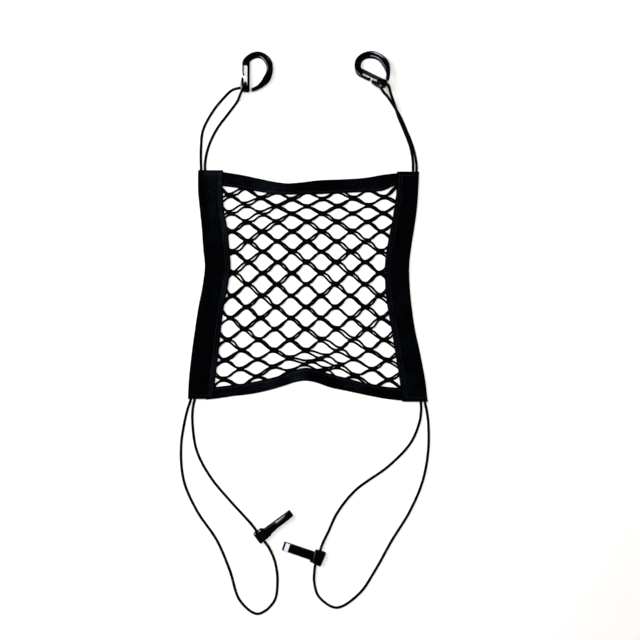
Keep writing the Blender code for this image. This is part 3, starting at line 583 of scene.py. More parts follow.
def bandCloth(values, seed, isSide, ends, foldAt, freeAt):
    # Sections of a strip folded lengthways, from the lower flap round the fold to the upper flap
    half = webbingSize["thickness"] / 2
    count = round(abs(ends[1] - ends[0]) / values["step"]) + 1
    turn = 1 if ends[1] > ends[0] else -1
    spots = [ends[0] + turn * d for d in (0.0, 0.25, 0.7)]
    spots += list(np.linspace(ends[0], ends[1], count))[1:-1]
    spots += [ends[1] - turn * d for d in (0.7, 0.25, 0.0)]
    rings = len(spots)
    points, faces, marks, sections = [], [], [], []
    for k, along in enumerate(spots):
        fold, free = foldAt(along), freeAt(along)
        width = abs(free - fold)
        sign = 1 if free > fold else -1
        high = heightOf(isSide, along)
        radius = (high - half) / 2
        middle = half + radius
        section = [(d, half) for d in np.linspace(width - values["short"], middle, 9)]
        section += [
            (middle - radius * math.cos(a), middle + radius * math.sin(a))
            for a in np.radians(np.linspace(-75, 75, 11))
        ]
        for d in np.linspace(middle, width, values["flapPoints"]):
            settle = ease((d - middle) / 3.0)
            section.append((d, high + settle * bandRelief(values, seed, along, ends, d, width)))
        section = np.array(section)
        ahead = np.gradient(section, axis=0)
        ahead /= np.linalg.norm(ahead, axis=1)[:, None]
        normal = np.stack([ahead[:, 1], -ahead[:, 0]], axis=1)
        # The cut ends are sealed thin
        thick = half * {0: 0.35, 1: 0.75}.get(min(k, rings - 1 - k), 1.0)
        outer, inner = section + normal * thick, section - normal * thick
        firstTip = section[0] - ahead[0] * half * 0.7
        lastTip = section[-1] + ahead[-1] * half * 0.7
        travelled = travel(section)
        across = [*travelled, travelled[-1] + half, *travelled[::-1], -half]
        loop = [*outer, lastTip, *inner[::-1], firstTip]
        points += [(*layOn(isSide, along, fold + sign * d), max(z, 0.0)) for d, z in loop]
        sections.append([(place * mm, along * mm) for place in across])
    size = len(loop)
    for k in range(rings - 1):
        base, after = k * size, (k + 1) * size
        for j in range(size):
            i = (j + 1) % size
            faces.append((base + j, base + i, after + i, after + j))
            marks += [sections[k][j], sections[k][i], sections[k + 1][i], sections[k + 1][j]]
    # The two cut ends, closed in strips between the outer and the inner face
    flap = (size - 2) // 2
    strips = [(j, j + 1, size - 3 - j, size - 2 - j) for j in range(flap - 1)]
    strips += [(flap - 1, flap, flap + 1), (0, size - 2, size - 1)]
    for k in (0, rings - 1):
        for strip in strips:
            face = strip if k else strip[::-1]
            faces.append(tuple(k * size + j for j in face))
            marks += [sections[k][j] for j in face]
    return points, faces, marks


def fixNormals(piece):
    body = bmesh.new()
    body.from_mesh(piece.data)
    bmesh.ops.recalc_face_normals(body, faces=body.faces)
    body.to_mesh(piece.data)
    body.free()


# Marks where each band gets painted sheen, the stretches that would face the light
def markPaintedSheen(piece, stretches, isSide, foldAt, freeAt):
    paintedSheen = piece.data.attributes.new("paintedSheen", "FLOAT", "POINT")
    for point, mark in zip(piece.data.vertices, paintedSheen.data):
        x, y = point.co.x / mm, point.co.y / mm
        along, across = (y, x) if isSide else (x, y)
        share = (freeAt(along) - across) / (freeAt(along) - foldAt(along))
        value = 0.0
        for middle, reach, strength, (near, far) in stretches:
            place = plan(middle, middle)[1 if isSide else 0]
            beside = ease((share - near) / 0.06 + 1) * ease((far - share) / 0.12 + 1)
            value += strength * beside * math.exp(-(((along - place) / (reach * unit)) ** 2))
        mark.value = value


threadSize = {"length": 2.5, "gap": 0.75, "thick": 0.5, "lift": 0.12}


def stitches(line):
    # Short threads laid end to end along a line on the cloth, each dipping in at its ends
    line = np.asarray(line, float)
    length, gap, thick = threadSize["length"], threadSize["gap"], threadSize["thick"]
    chunks = []
    for at in np.arange(gap, travel(line)[-1] - length, length + gap):
        thread = pointsAt(line, at + np.linspace(0.0, length, 6))
        thread[:, 2] += thick * np.array([-0.9, 0.1, 0.35, 0.35, 0.1, -0.9])
        chunks.append(sweep(thread, thick * 0.62, thick * 0.5, 6))
    return chunks


def addBand(which, node, values, seed, isSide, ends, foldAt, freeAt):
    name = "band_" + which
    cloth = bandCloth(values, seed, isSide, ends, foldAt, freeAt)
    piece = meshPiece(name, [cloth], webbing)
    fixNormals(piece)
    markPaintedSheen(piece, paintedSheenOn[which], isSide, foldAt, freeAt)
    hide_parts(node)

    def surface(along, fromEdge):
        fold, free = foldAt(along), freeAt(along)
        sign = 1 if free > fold else -1
        width = abs(free - fold)
        rise = bandRelief(values, seed, along, ends, width - fromEdge, width)
        height = heightOf(isSide, along) + rise + webbingSize["thickness"] / 2 + threadSize["lift"]
        return (*layOn(isSide, along, free - sign * fromEdge), height)

    spots = np.linspace(ends[0], ends[1], 240)[3:-3]
    lines = [[surface(along, seam) for along in spots] for seam in values["seams"]]
    if values["hem"]:
        turn = 1 if ends[1] > ends[0] else -1
        for end, way in zip(ends, (turn, -turn)):
            along = end + way * (values["hem"] - values["hemSeam"])
            width = abs(freeAt(along) - foldAt(along))
            lines.append([surface(along, d) for d in np.linspace(1.2, width - 3.0, 40)])
    chunks = [chunk for line in lines for chunk in stitches(line)]
    return piece, meshPiece(name + "_stitching", chunks, sewing)


def sideReach(rows):
    return plan(0, rows[0][0])[1], plan(0, rows[-1][0])[1]


def endReach(outer):
    level = outer(0.0)
    left = leftInner(outer(leftInner(level) - 9.0)) - 9.0
    right = rightInner(outer(rightInner(level) + 9.0)) + 9.0
    return left, right


bandRows = [
    ("left", "side_band_left", sideBand, 3.0, True, sideReach(leftSide), leftOuter, leftInner),
    (
        "right", "side_band_right", sideBand, 17.0, True, sideReach(rightSide), rightOuter,
        rightInner,
    ),
    ("top", "top_band", endBand, 31.0, False, endReach(topOuter), topOuter, topInner),
    (
        "bottom", "bottom_band", endBand, 47.0, False, endReach(bottomOuter), bottomOuter,
        bottomInner,
    ),
]
bands = {row[0]: addBand(*row) for row in bandRows}
print("bands made")

netting = {
    "columns": 10, "rows": 18, "endStep": 11.0, "firstX": -104.0,
    "rowHeights": [(0, 195.0), (3, 222.0), (7, 262.2), (11, 307.0), (15, 350.2), (18, 379.4)],
    "sideLines": [
        (204.0, 230.2, 384.0), (250.0, 233.6, 380.4), (307.0, 231.6, 380.2),
        (350.0, 226.2, 385.6), (370.0, 224.0, 388.8),
    ],
    "topPull": (0.5, 3, 1.3), "bottomPull": (0.6, 3, 1.2),
    "slack": {"x": 22.0, "y": -82.0, "width": 46.0, "depth": 20.0},
    # Where one layer has slipped over the other: x, y and reach in units, slips in millimetres
    "slip": (3.0, 0.4),
    "slips": [
        (250, 204, 36, 2.3, -2.9), (242, 276, 26, 1.6, -0.8), (378, 216, 26, -1.0, 0.0),
        (346, 256, 26, 1.5, 0.9), (326, 312, 28, -1.1, -0.6), (376, 334, 24, 2.2, -0.2),
        (322, 360, 26, 1.0, 3.4),
    ],
    "tuckLeft": 13.6, "tuckRight": 11.0, "tuckEnd": 9.0,
    "strandWide": 1.28, "strandHigh": 0.5, "beside": 1.25, "sides": 8,
    # Where the binding yarns of a joint pass, with their half width and half height there
    "joint": [
        (-3.9, 0.3, 0.2), (-3.1, 1.1, 0.4), (-1.7, 2.0, 0.5), (0.0, 2.25, 0.52),
        (1.7, 2.0, 0.5), (3.1, 1.1, 0.4), (3.9, 0.3, 0.2),
    ],
}
backLayer = {"base": layerStep, "side": -0.5, "sway": 0.5, "loose": 0.0, "wave": 1.2}
frontLayer = {"base": 2 * layerStep, "side": 0.5, "sway": 0.7, "loose": 3.0, "wave": 1.65}


def latticeOf(layer):
    rowHeight = through(*zip(*((row, plan(0, y)[1]) for row, y in netting["rowHeights"])))
    spots = [
        (plan(0, y)[1], plan(left, 0)[0], plan(right, 0)[0])
        for y, left, right in netting["sideLines"]
    ]
    ys, lefts, rights = zip(*spots)
    left, right = through(ys, lefts), through(ys, rights)
    lastRow = netting["rows"]
    topShare, topRows, topPower = netting["topPull"]
    lowShare, lowRows, lowPower = netting["bottomPull"]
    firstX = netting["firstX"]
    slack = netting["slack"]
    half = layer["side"]

    def place(column, row):
        y = rowHeight(row)
        if row < 0:
            y -= netting["endStep"] * row
        if row > lastRow:
            y -= netting["endStep"] * (row - lastRow)
        x = left(y) + column / netting["columns"] * (right(y) - left(y))
        # The outermost rows follow the curve of the end bands
        nearTop = max(0.0, (topRows - row) / topRows)
        nearLow = max(0.0, (row - lastRow + lowRows) / lowRows)
        y += topShare * nearTop**topPower * (topInner(x) - topInner(firstX))
        y += lowShare * nearLow**lowPower * (bottomInner(x) - bottomInner(firstX))
        # Uneven stretch, and the slack that gathers above the bottom band
        offX = (x - slack["x"]) / slack["width"]
        offY = (y - slack["y"]) / slack["depth"]
        loose = layer["loose"] * math.exp(-(offX**2) - offY**2)
        slipX, slipY = netting["slip"]
        for middleX, middleY, reach, across, along in netting["slips"]:
            atX, atY = plan(middleX, middleY)
            apart = math.hypot(x - atX, y - atY) / (reach * unit)
            slipX += across * math.exp(-(apart**2))
            slipY += along * math.exp(-(apart**2))
        x += half * slipX + layer["sway"] * math.sin(0.83 * row + 1.7 * column + 4 * half)
        x += loose * math.sin(1.1 * column + 0.5 * row)
        y += half * slipY + layer["sway"] * math.cos(1.31 * row - 0.9 * column + 3 * half)
        y += 0.5 * loose * math.cos(0.9 * column)
        return np.array((x, y))

    return place


def netStrand(place, layer, row):
    # One wave of the knit: it touches the row below at every other column and the row above between
    spots, ways, line, joints = [], [], [], []
    for column in range(-1, netting["columns"] + 2):
        at, side = (row, 1) if (column + row) % 2 == 0 else (row - 1, -1)
        spots.append(place(column, at) + np.array((0.0, side * netting["beside"])))
        ways.append((place(column + 1, at) - place(column - 1, at)) / 2 * layer["wave"])
    for i in range(len(spots) - 1):
        for t in np.linspace(0.0, 1.0, 9)[:-1]:
            line.append(hermite(t, spots[i], ways[i], spots[i + 1], ways[i + 1]))
            joints.append(abs(2 * t - 1))
    # Both ends run on into the side bands, and nothing passes the net's own edges
    firstY, lastY = line[0][1], spots[-1][1]
    first = [leftInner(firstY) - netting["tuckLeft"] + 0.8, firstY]
    last = [rightInner(lastY) + netting["tuckRight"] - 0.8, lastY]
    line = np.array([first] + line + [spots[-1], last])
    for point in line:
        point[1] = min(point[1], topInner(point[0]) + netting["tuckEnd"] - 1.2)
        point[1] = max(point[1], bottomInner(point[0]) - netting["tuckEnd"] + 1.2)
    steps = np.arange(len(line))
    level = layer["base"] + netting["strandHigh"] + 0.10 * np.sin(0.9 * steps + 2.1 * row)
    uneven = [1 + 0.08 * crumple(3.0 * i, 17.0 * row, 11.0, layer["base"]) for i in steps]
    wide = netting["strandWide"] * np.array(uneven) * (1 + 0.10 * np.array([1, *joints, 1, 1]) ** 3)
    line = np.column_stack([line, level])
    return sweep(line, wide, netting["strandHigh"], netting["sides"], level=True)


def netJoint(place, layer, column, row):
    # The yarns that bind two strands side by side
    middle = place(column, row)
    way = place(column + 1, row) - place(column - 1, row)
    way /= np.linalg.norm(way)
    reach, wide, high = np.array(netting["joint"]).T
    level = np.full(len(reach), layer["base"] + netting["strandHigh"])
    line = np.column_stack([middle + np.outer(reach, way), level])
    return sweep(line, wide, high, netting["sides"], level=True)


def netEdge(layer):
    # The net's own edge, folded away inside the bands
    sides = [
        lambda y: leftInner(y) - netting["tuckLeft"], lambda y: rightInner(y) + netting["tuckRight"]
    ]
    ends = [
        lambda x: topInner(x) + netting["tuckEnd"], lambda x: bottomInner(x) - netting["tuckEnd"]
    ]
    corners = []
    for i, j in ((0, 0), (1, 0), (1, 1), (0, 1)):
        x, y = sides[i](0.0), 0.0
        for _ in range(8):
            y = ends[j](x)
            x = sides[i](y)
        corners.append((x, y))
    chunks = []
    for k, (start, stop) in enumerate(zip(corners, corners[1:] + corners[:1])):
        inwards = 1.0 if k in (0, 1) else -1.0
        line = []
        for t in np.linspace(0.0, 1.0, 70):
            x, y = (start[i] + t * (stop[i] - start[i]) for i in (0, 1))
            if k % 2 == 0:
                y = ends[k // 2](x) - inwards
            else:
                x = sides[0 if k == 3 else 1](y) - inwards
            line.append((x, y, layer["base"] + 0.5))
        chunks.append(sweep(line, 1.0, 0.45, 8, level=True))
    return chunks


def addNet(name, node, layer):
    place = latticeOf(layer)
    chunks = [netStrand(place, layer, row) for row in range(-1, netting["rows"] + 3)]
    for row in range(-1, netting["rows"] + 2):
        for column in range(0, netting["columns"] + 1):
            if (row + column) % 2 == 0:
                chunks.append(netJoint(place, layer, column, row))
    piece = meshPiece(name, chunks + netEdge(layer), netKnit)
    fixNormals(piece)
    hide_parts(node)


addNet("knit_back", "net_back", backLayer)
addNet("knit_front", "net_front", frontLayer)
print("net made")


# Hooks and clips are modelled with one unit to a millimetre and made small as they are placed
def toObject():
    if bpy.context.mode != "OBJECT":
        bpy.ops.object.mode_set(mode="OBJECT")


def startFrom(add, **settings):
    # A primitive with its place and turn applied, open in edit mode
    toObject()
    bpy.ops.object.select_all(action="DESELECT")
    add(**settings)
    bpy.ops.object.transform_apply(location=True, rotation=True, scale=True)
    bpy.ops.object.mode_set(mode="EDIT")
    return bpy.context.active_object


def startPlane(x, y, wide, tall, standing=False):
    # A flat start for a strip; a standing one is drawn in X and Z
    turn = (math.pi / 2, 0.0, 0.0) if standing else (0.0, 0.0, 0.0)
    where = (x, 0.0, y) if standing else (x, y, 0.0)
    size = (wide, 1.0, tall) if standing else (wide, tall, 1.0)
    piece = startFrom(bpy.ops.mesh.primitive_plane_add, size=1.0, location=where, rotation=turn)
    bpy.ops.transform.resize(value=size, center_override=where)
    return piece


def pick(kind, test):
    # In edit mode, selects what passes a test of its middle and its normal, or an edge's angle
    bpy.ops.mesh.select_mode(type=kind)
    bpy.ops.mesh.select_all(action="DESELECT")
    mesh = bpy.context.active_object.data
    body = bmesh.from_edit_mesh(mesh)
    if kind == "VERT":
        items = [(item, item.co, item.normal) for item in body.verts]
    elif kind == "EDGE":
        items = [
            (item, (item.verts[0].co + item.verts[1].co) / 2, item.calc_face_angle(0.0))
            for item in body.edges
        ]
    else:
        items = [(item, item.calc_center_median(), item.normal) for item in body.faces]
    for item, middle, normal in items:
        if test(middle, normal):
            item.select_set(True)
    body.select_flush_mode()
    bmesh.update_edit_mesh(mesh)


def near(*target):
    # A test for what lies within a tenth of a millimetre of a place, where None is anywhere
    def test(middle, normal):
        pairs = zip(middle, target)
        return all(want is None or abs(have - want) < 0.1 for have, want in pairs)

    return test


def shift(x, y, z):
    bpy.ops.transform.translate(value=(x, y, z))


def extrude(x, y, z):
    bpy.ops.mesh.extrude_region_move(TRANSFORM_OT_translate={"value": (x, y, z)})


def cut(place, way):
    bpy.ops.mesh.select_all(action="SELECT")
    bpy.ops.mesh.bisect(plane_co=place, plane_no=way)


def growStrip(stations, start):
    # Extrudes the selected edge through stations of x, y and width; start is where it is now
    x, y, wide, angle = start
    for i, (nextX, nextY, nextWide) in enumerate(stations):
        beforeX, beforeY = (x, y) if i == 0 else stations[i - 1][:2]
        afterX, afterY = stations[min(i + 1, len(stations) - 1)][:2]
        nextAngle = math.atan2(afterY - beforeY, afterX - beforeX)
        bend = (nextAngle - angle + math.pi) % (2 * math.pi) - math.pi
        extrude(nextX - x, nextY - y, 0.0)
        centre = (nextX, nextY, 0.0)
        # With no window this operator turns clockwise
        bpy.ops.transform.rotate(value=-bend, orient_axis="Z", center_override=centre)
        scale = nextWide / wide
        bpy.ops.transform.resize(value=(scale, scale, scale), center_override=centre)
        x, y, wide, angle = nextX, nextY, nextWide, nextAngle


def applyModifier(piece, kind, **settings):
    toObject()
    made = piece.modifiers.new(kind.lower(), kind)
    for name, value in settings.items():
        setattr(made, name, value)
    bpy.ops.object.modifier_apply(modifier=made.name)


def joinSolids(piece, helper, operation="UNION"):
    # Adds or cuts a helper solid and removes it
    toObject()
    bpy.context.view_layer.objects.active = piece
    applyModifier(piece, "BOOLEAN", operation=operation, solver="EXACT", object=helper)
    bpy.data.objects.remove(helper, do_unlink=True)


def pickSharp(least):
    bpy.ops.mesh.select_mode(type="EDGE")
    bpy.ops.mesh.select_all(action="DESELECT")
    bpy.ops.mesh.edges_select_sharp(sharpness=math.radians(least))


def roundEdges(width, steps, least=50.0):
    pickSharp(least)
    bpy.ops.mesh.bevel(offset=width, segments=steps, clamp_overlap=True)


def placeSolid(piece, matrix, node, finish):
    toObject()
    bpy.ops.object.select_all(action="DESELECT")
    bpy.context.view_layer.objects.active = piece
    piece.select_set(True)
    bpy.ops.object.shade_smooth_by_angle(angle=math.radians(35))
    applyModifier(piece, "WEIGHTED_NORMAL", keep_sharp=True, weight=50)
    piece.matrix_world = Matrix.Scale(mm, 4) @ matrix
    bpy.ops.object.transform_apply(location=True, rotation=True, scale=True)
    piece.data.materials.clear()
    piece.data.materials.append(finish)
    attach(piece, "root")
    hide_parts(node)


hookShape = {
    "thick": 6.4, "edge": 1.75, "edgeSteps": 5, "spineEdge": 0.50, "tipEdge": 0.4,
    "legEdge": 0.35, "legThick": 5.6, "lugLine": -16.9, "lugDrop": 0.65, "arcStep": 2.4,
    "rim": 0.25, "slope": 0.6, "recess": 0.43,
    "spineTop": -7.3, "spineBottom": 21.8, "spineLeft": -16.7, "spineRight": -9.1,
    "slotTop": -6.0, "slotBottom": 16.2, "slotRight": -11.3, "corner": 3.4, "rightCorner": 2.3,
    "slotCorner": 1.9, "tipCorner": 1.5,
}
# Along the arm, in units with Y down: middle and width
hookArm = [
    (-12.0, -10.2, 6.8), (-10.4, -12.2, 6.1), (-7.0, -14.7, 6.1), (-2.4, -16.2, 6.1),
    (2.6, -15.5, 6.0), (6.9, -12.4, 6.3), (9.9, -7.9, 6.6), (11.0, -2.2, 6.2), (10.2, 3.3, 6.4),
    (7.7, 8.8, 7.0), (3.8, 13.6, 5.2), (-0.8, 17.3, 3.6), (-4.9, 19.2, 3.2), (-6.7, 19.8, 3.0),
]
# The thin leg beside the slot, in two parts with the way in for the cord between them
hookLegs = [
    [(-15.8, -6.6, 1.3), (-15.75, 1.2, 1.3), (-15.5, 3.4, 1.3), (-14.7, 4.9, 1.3)],
    [(-16.3, 18.8, 2.8), (-16.6, 15.2, 3.2), (-16.5, 11.4, 2.8), (-16.1, 7.6, 1.6)],
]


def flatStations(rows):
    return [(x * unit, -y * unit, wide * unit) for x, y, wide in rows]


def addHookLeg(rows):
    (x, y, wide), *stations = flatStations(rows)
    way = 1 if stations[0][1] > y else -1
    leg = startPlane(x, y - way * 0.25, wide, 0.5)
    pick("EDGE", near(x, y, 0.0))
    growStrip(stations, (x, y, wide, way * math.pi / 2))
    applyModifier(leg, "SOLIDIFY", thickness=hookShape["legThick"], offset=0.0)
    bpy.ops.object.mode_set(mode="EDIT")
    if way == 1:
        # The lug's faces slope away along its outer side
        lugLine = hookShape["lugLine"] * unit
        cut((lugLine, 0, 0), (1, 0, 0))
        for side in (1, -1):
            pick("VERT", lambda at, normal: at.x < lugLine - 0.3 and at.z * side > 0)
            shift(0, 0, -side * hookShape["lugDrop"])
    roundEdges(hookShape["legEdge"], 2)
    return leg


def addHook():
    shape = hookShape
    left, right, slotRight = (shape[name] * unit for name in ("spineLeft", "spineRight", "slotRight"))
    top, bottom, slotTop, slotBottom = (
        -shape[name] * unit for name in ("spineTop", "spineBottom", "slotTop", "slotBottom")
    )
    middle, wide = (left + right) / 2, right - left
    hook = startPlane(middle, (top + bottom) / 2, wide, top - bottom)
    # The arm grows out of the top of the spine
    pick("EDGE", near(None, top, None))
    arc = smoothLine([(middle, top, wide)] + flatStations(hookArm), shape["arcStep"])
    growStrip(arc[1:], (middle, top, wide, math.pi / 2))
    # The slot is cut beside the spine's strong leg
    for x, y in ((slotRight, 0), (0, slotTop), (0, slotBottom)):
        pick("FACE", lambda at, normal: at.x < right and at.y < top)
        bpy.ops.mesh.bisect(plane_co=(x, y, 0), plane_no=(1, 0, 0) if x else (0, 1, 0))
    slotMiddle = (slotTop + slotBottom) / 2
    pick("FACE", lambda at, normal: at.x < slotRight and abs(at.y - slotMiddle) < 5)
    bpy.ops.mesh.delete(type="FACE")
    for x, y, corner in (
        (left, bottom, "corner"), (right, bottom, "rightCorner"),
        (slotRight, slotTop, "slotCorner"), (slotRight, slotBottom, "slotCorner"),
    ):
        pick("VERT", near(x, y, None))
        bpy.ops.mesh.bevel(offset=shape[corner], segments=5, affect="VERTICES")

    def nearTip(reach):
        return lambda at, normal: math.hypot(at.x - arc[-1][0], at.y - arc[-1][1]) < reach

    pick("VERT", nearTip(2.2))
    bpy.ops.mesh.bevel(offset=shape["tipCorner"], segments=4, affect="VERTICES")
    applyModifier(hook, "SOLIDIFY", thickness=shape["thick"], offset=0.0)
    # The arm is well rounded, the slotted end and the tip less so
    bpy.ops.object.mode_set(mode="EDIT")
    pickSharp(50)
    bpy.ops.transform.edge_bevelweight(value=1.0)
    for test, share in (
        (lambda at, angle: at.x < -8.6 * unit and at.y < top + 3.0, shape["spineEdge"]),
        (nearTip(4.0), shape["tipEdge"]),
    ):
        pick("EDGE", test)
        bpy.ops.transform.edge_bevelweight(value=share - 1.0)
    applyModifier(
        hook, "BEVEL", limit_method="WEIGHT", width=shape["edge"], segments=shape["edgeSteps"],
        use_clamp_overlap=False,
    )
    bpy.ops.object.mode_set(mode="EDIT")
    # A shallow channel runs along both faces of the arm, inside a rim
    for way in (1, -1):
        pick(
            "FACE",
            lambda at, normal: normal.z * way > 0.99 and at.x > -7.5 * unit
            and at.y > -14.5 * unit and (at.x > -4 or at.y > 0),
        )
        bpy.ops.mesh.inset(thickness=shape["rim"], depth=0.0)
        bpy.ops.mesh.inset(thickness=shape["slope"], depth=-shape["recess"])
    for rows in hookLegs:
        joinSolids(hook, addHookLeg(rows))
    return hook


def placeHooks():
    first = addHook()
    bpy.ops.object.select_all(action="DESELECT")
    first.select_set(True)
    bpy.context.view_layer.objects.active = first
    bpy.ops.object.duplicate(linked=False)
    second = bpy.context.active_object
    for hook, place, side in ((first, leftHook, "left"), (second, rightHook, "right")):
        hook.name = "moulded_hook_" + side
        placeSolid(hook, hookMatrix(place), "hook_" + side, hookPlastic)
        "top_" + side


placeHooks()
print("hooks made")

# Side view of the clip's tongue: lengths from the block's middle and heights
tongue = {
    "tipFrom": 36.8, "tipTo": 44.3, "top": 4.4, "bottom": -4.0, "facetTo": 42.0,
    "endRound": 0.8, "slitTop": -1.6, "slitBottom": -2.8, "jaw": (22.6, 0.8),
    "jawEnd": (21.2, -1.6), "root": (5.0, -0.4), "thinRoot": 7.0, "thinDrop": 0.5,
    "strap": 10.2, "edge": 0.5,
}
leftClip = {
    "side": "left", "x": 261.8, "y": 534.4,
    "toX": 291.2, "toY": 512.3, "block": (14.6, 12.0, 15.4), "bore": -1.9, "onSide": True,
    "drop": 0.0, "facetDrop": 0.25, "endDrop": 0.35, "rootRise": 1.7, "cuts": (-3.9, -3.2, 3.2),
    "waist": (0.94, 0.94), "shoulder": (0.92, 0.88), "crisp": 99.0, "lugs": [],
    "slants": [((1, None, 1), 3.4), ((1, None, -1), -1.5)],
}
rightClip = {
    "side": "right", "x": 318.2, "y": 557.0,
    "toX": 283.2, "toY": 545.2, "block": (14.6, 17.8, 11.0), "bore": 0.4, "onSide": False,
    "drop": -0.3, "facetDrop": 1.38, "endDrop": 1.7, "rootRise": 0.0, "cuts": (),
    "waist": (0.99, 0.99), "shoulder": (0.94, 1.0), "crisp": 2.5,
    "lugs": [(6.3, 6.6)],
    "slants": [((1, -1, None), -0.9), ((1, 1, None), -2.9), ((-1, 1, None), 1.2)],
}
blockShape = {
    "flange": -3.55, "shoulder": 3.4, "edge": 2.0, "crispEdge": 0.45, "hole": 4.2, "mouth": 3.5,
    "flare": ((-0.9, 0.0), (-0.55, 0.12), (-0.28, 0.4), (-0.1, 0.9), (0.02, 1.7), (0.6, 2.2)),
    "lug": (4.4, 2.6, 0.6, 0.9),
}


def clipMatrix(clip):
    start = Vector((*plan(clip["x"], clip["y"]), 0.0))
    along = (Vector((*plan(clip["toX"], clip["toY"]), 0.0)) - start).normalized()
    up = Vector((0.0, 0.0, 1.0))
    across = up if clip["onSide"] else up.cross(along)
    turn = Matrix((along, across, along.cross(across))).transposed().to_4x4()
    start.z = clip["block"][1 if clip["onSide"] else 2] / 2
    return Matrix.Translation(start) @ turn


def addTongue(clip):
    # The tip first, then the thick leg and the thin leg back to the block
    shape = tongue
    top, bottom, slitTop, slitBottom = (
        shape[name] + clip["drop"] for name in ("top", "bottom", "slitTop", "slitBottom")
    )
    tipFrom, tipTo, facetTo = shape["tipFrom"], shape["tipTo"], shape["facetTo"]
    endTop = top - clip["facetDrop"] - clip["endDrop"]
    piece = startPlane(
        (tipFrom + tipTo) / 2, (top + bottom) / 2, tipTo - tipFrom, top - bottom, standing=True
    )
    cut((0, 0, slitTop), (0, 0, 1))
    cut((0, 0, slitBottom), (0, 0, 1))
    cut((facetTo, 0, 0), (1, 0, 0))
    for x, height in ((facetTo, top - clip["facetDrop"]), (tipTo, endTop)):
        pick("VERT", near(x, None, top))
        shift(0, 0, height - top)
    # Cuts close to its ends keep the facet flat when it is shaded
    cut((tipFrom + 0.3, 0, 0), (1, 0, 0))
    cut((facetTo - 0.25, 0, 0), (1, 0, 0))
    # The thick leg, with a notch where the slit ends
    x, low = tipFrom, slitTop
    pick("EDGE", near(x, None, (top + low) / 2))
    for nextX, rise in (shape["jaw"], shape["jawEnd"], shape["root"]):
        extrude(nextX - x, 0, 0)
        x = nextX
        pick("VERT", near(x, None, low))
        shift(0, 0, rise)
        low += rise
        pick("EDGE", near(x, None, (top + low) / 2))
    pick("VERT", near(x, None, top))
    shift(0, 0, clip["rootRise"])
    # The thin leg springs from the tip's lower edge
    pick("EDGE", near(tipFrom, None, (bottom + slitBottom) / 2))
    extrude(shape["thinRoot"] - tipFrom, 0, -shape["thinDrop"])
    for height in (endTop, bottom):
        pick("VERT", near(tipTo, None, height))
        bpy.ops.mesh.bevel(offset=shape["endRound"], segments=4, affect="VERTICES")
    applyModifier(piece, "SOLIDIFY", thickness=shape["strap"], offset=0.0)
    bpy.ops.object.mode_set(mode="EDIT")
    roundEdges(shape["edge"], 3, 60.0)
    return piece


def addBlock(size, at):
    piece = startFrom(bpy.ops.mesh.primitive_cube_add, size=1.0, location=at)
    bpy.ops.transform.resize(value=size, center_override=at)
    return piece


def addClip(clip):
    shape = blockShape
    length, across, high = clip["block"]
    centre = (0.0, 0.0, 0.0)
    block = addBlock(clip["block"], centre)
    block.name = "moulded_clip_" + clip["side"]
    # A flange at the outer end, a slightly narrower waist, and shoulders towards the tongue
    for x in clip["cuts"]:
        cut((x, 0, 0), (1, 0, 0))
    for part, share in (("flange", "waist"), ("shoulder", "shoulder")):
        pick("VERT", lambda at, normal: at.x > shape[part])
        bpy.ops.transform.resize(value=(1.0, *clip[share]), center_override=centre)
    # The end faces slant: each corner pair named by its sides is moved along the clip
    for sides, along in clip["slants"]:
        pick(
            "VERT",
            lambda at, normal: abs(at.x) > 6.0
            and all(side is None or at[k] * side > 0 for k, side in enumerate(sides)),
        )
        shift(along, 0, 0)
    # The edges over the tongue may stay crisper than the rest
    pick(
        "EDGE",
        lambda at, angle: angle > math.radians(50) and not (at.x > clip["crisp"] and abs(at.z) > 3),
    )
    bpy.ops.mesh.bevel(offset=shape["edge"], segments=5, clamp_overlap=True)
    if clip["crisp"] < length:
        roundEdges(shape["crispEdge"], 2, 60.0)
    joinSolids(block, addTongue(clip))
    long, wide, share, edge = shape["lug"]
    for x, y in clip["lugs"]:
        lug = addBlock((long, wide, high * share), (x, y, -0.6))
        roundEdges(edge, 3)
        joinSolids(block, lug)
    # The bore runs across the tongue; the clip that lies on its side is open above it
    bore = startFrom(
        bpy.ops.mesh.primitive_cylinder_add, vertices=40, radius=shape["hole"] / 2, depth=40.0,
        location=(clip["bore"], 0, 0), rotation=(0.0 if clip["onSide"] else math.pi / 2, 0.0, 0.0),
    )
    pick("FACE", lambda at, normal: max(abs(at.y), abs(at.z)) > 19)
    bpy.ops.mesh.inset(thickness=0.6, depth=0.6)
    joinSolids(block, bore, "DIFFERENCE")
    if clip["onSide"]:
        # A strip that flares towards the top, so that the mouth's edges come out rounded
        wide = shape["mouth"]
        mouth = startPlane(clip["bore"], 1.0, wide, 2.0)
        pick("EDGE", near(None, 2.0, None))
        stations = [(clip["bore"], across / 2 + y, wide + more) for y, more in shape["flare"]]
        growStrip(stations, (clip["bore"], 2.0, wide, math.pi / 2))
        applyModifier(mouth, "SOLIDIFY", thickness=2 * high, offset=0.0)
        joinSolids(block, mouth, "DIFFERENCE")
    placeSolid(block, clipMatrix(clip), "toggle_" + clip["side"], clipPlastic)


addClip(leftClip)
addClip(rightClip)
print("clips made")

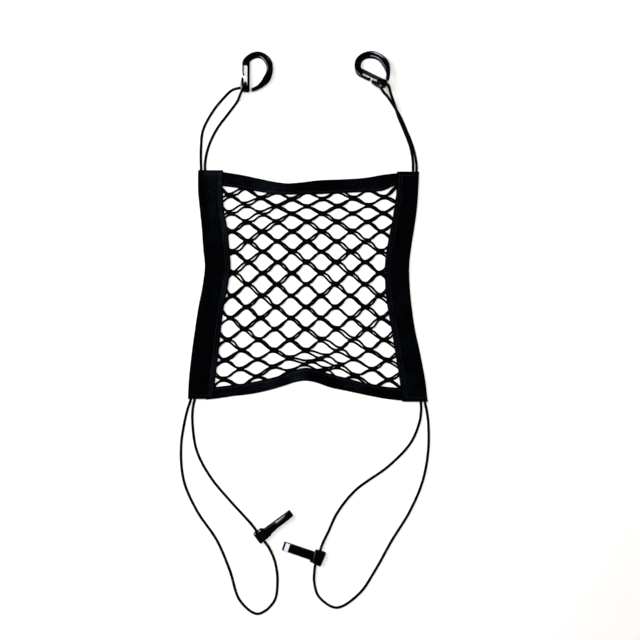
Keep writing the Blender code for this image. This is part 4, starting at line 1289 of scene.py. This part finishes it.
# Two panels give light and aren't seen in gloss, two are only seen in gloss
studio = {
    "floor": (0.92, 0.915, 0.905, 1.0), "floorRadius": 14.0,
    "zenith": (0.006, 0.006, 0.008, 1.0), "horizon": (0.05, 0.055, 0.07, 1.0),
    "key_softbox": {
        "at": (-0.72, 0.30, 1.62), "aim": (0.0, -0.05, 0.0), "size": (0.6, 0.9), "power": 19.0,
        "colour": (0.82, 0.90, 1.0), "glossOnly": False,
    },
    "fill_softbox": {
        "at": (0.02, -0.04, 2.8), "aim": (0.02, -0.04, 0.0), "size": (0.7, 0.7), "power": 68.0,
        "colour": (1.0, 0.945, 0.90), "glossOnly": False,
    },
    "gleam_panel": {
        "at": (-1.05, 0.0, 1.50), "aim": (0.0, -0.05, 0.0), "size": (0.65, 1.5), "power": 62.0,
        "colour": (0.80, 0.88, 1.0), "glossOnly": True,
    },
    "side_gleam_panel": {
        "at": (-1.30, 0.80, 1.10), "aim": (0.0, 0.1, 0.0), "size": (0.8, 0.8), "power": 22.0,
        "colour": (0.80, 0.88, 1.0), "glossOnly": True,
    },
}


def addFloor():
    floor = startFrom(
        bpy.ops.mesh.primitive_circle_add, vertices=96, radius=studio["floorRadius"],
        fill_type="NGON", location=(0, 0, -0.0002),
    )
    toObject()
    floor.name = "studio_floor"
    paler = tuple(value * 0.985 for value in studio["floor"][:3]) + (1.0,)
    paper = makeFinish(
        "pale_paper", {"Roughness": 0.9, "Specular IOR Level": 0.1},
        lambda wire: {"Base Color": wire.noise(300.0, 3.0).blend(studio["floor"], paler)},
    )
    floor.data.materials.append(paper)
    floor.visible_glossy = False


def addLight(name):
    values = studio[name]
    lamp = bpy.data.lights.new(name, "AREA")
    lamp.shape = "RECTANGLE"
    lamp.size, lamp.size_y = values["size"]
    lamp.energy = values["power"]
    lamp.color = values["colour"]
    light = bpy.data.objects.new(name, lamp)
    light.location = values["at"]
    toAim = Vector(values["aim"]) - Vector(values["at"])
    light.rotation_euler = toAim.to_track_quat("-Z", "Y").to_euler()
    light.visible_diffuse = not values["glossOnly"]
    light.visible_glossy = values["glossOnly"]
    bpy.context.scene.collection.objects.link(light)


def addWorld():
    world = bpy.data.worlds.new("studio")
    world.use_nodes = True
    bpy.context.scene.world = world
    wire = Wire(world.node_tree)
    direction = wire.node("ShaderNodeTexCoord", out=0)
    upward = wire.node("ShaderNodeSeparateXYZ", {}, {0: direction}, out=2).clamped()
    colour = ((1.0 - upward) ** 2.0).blend(studio["zenith"], studio["horizon"])
    background = world.node_tree.nodes["Background"]
    world.node_tree.links.new(colour.socket, background.inputs["Color"])


addFloor()
for name in ("key_softbox", "fill_softbox", "gleam_panel", "side_gleam_panel"):
    addLight(name)
addWorld()
bpy.context.scene.view_settings.view_transform = "Standard"
print("studio made")
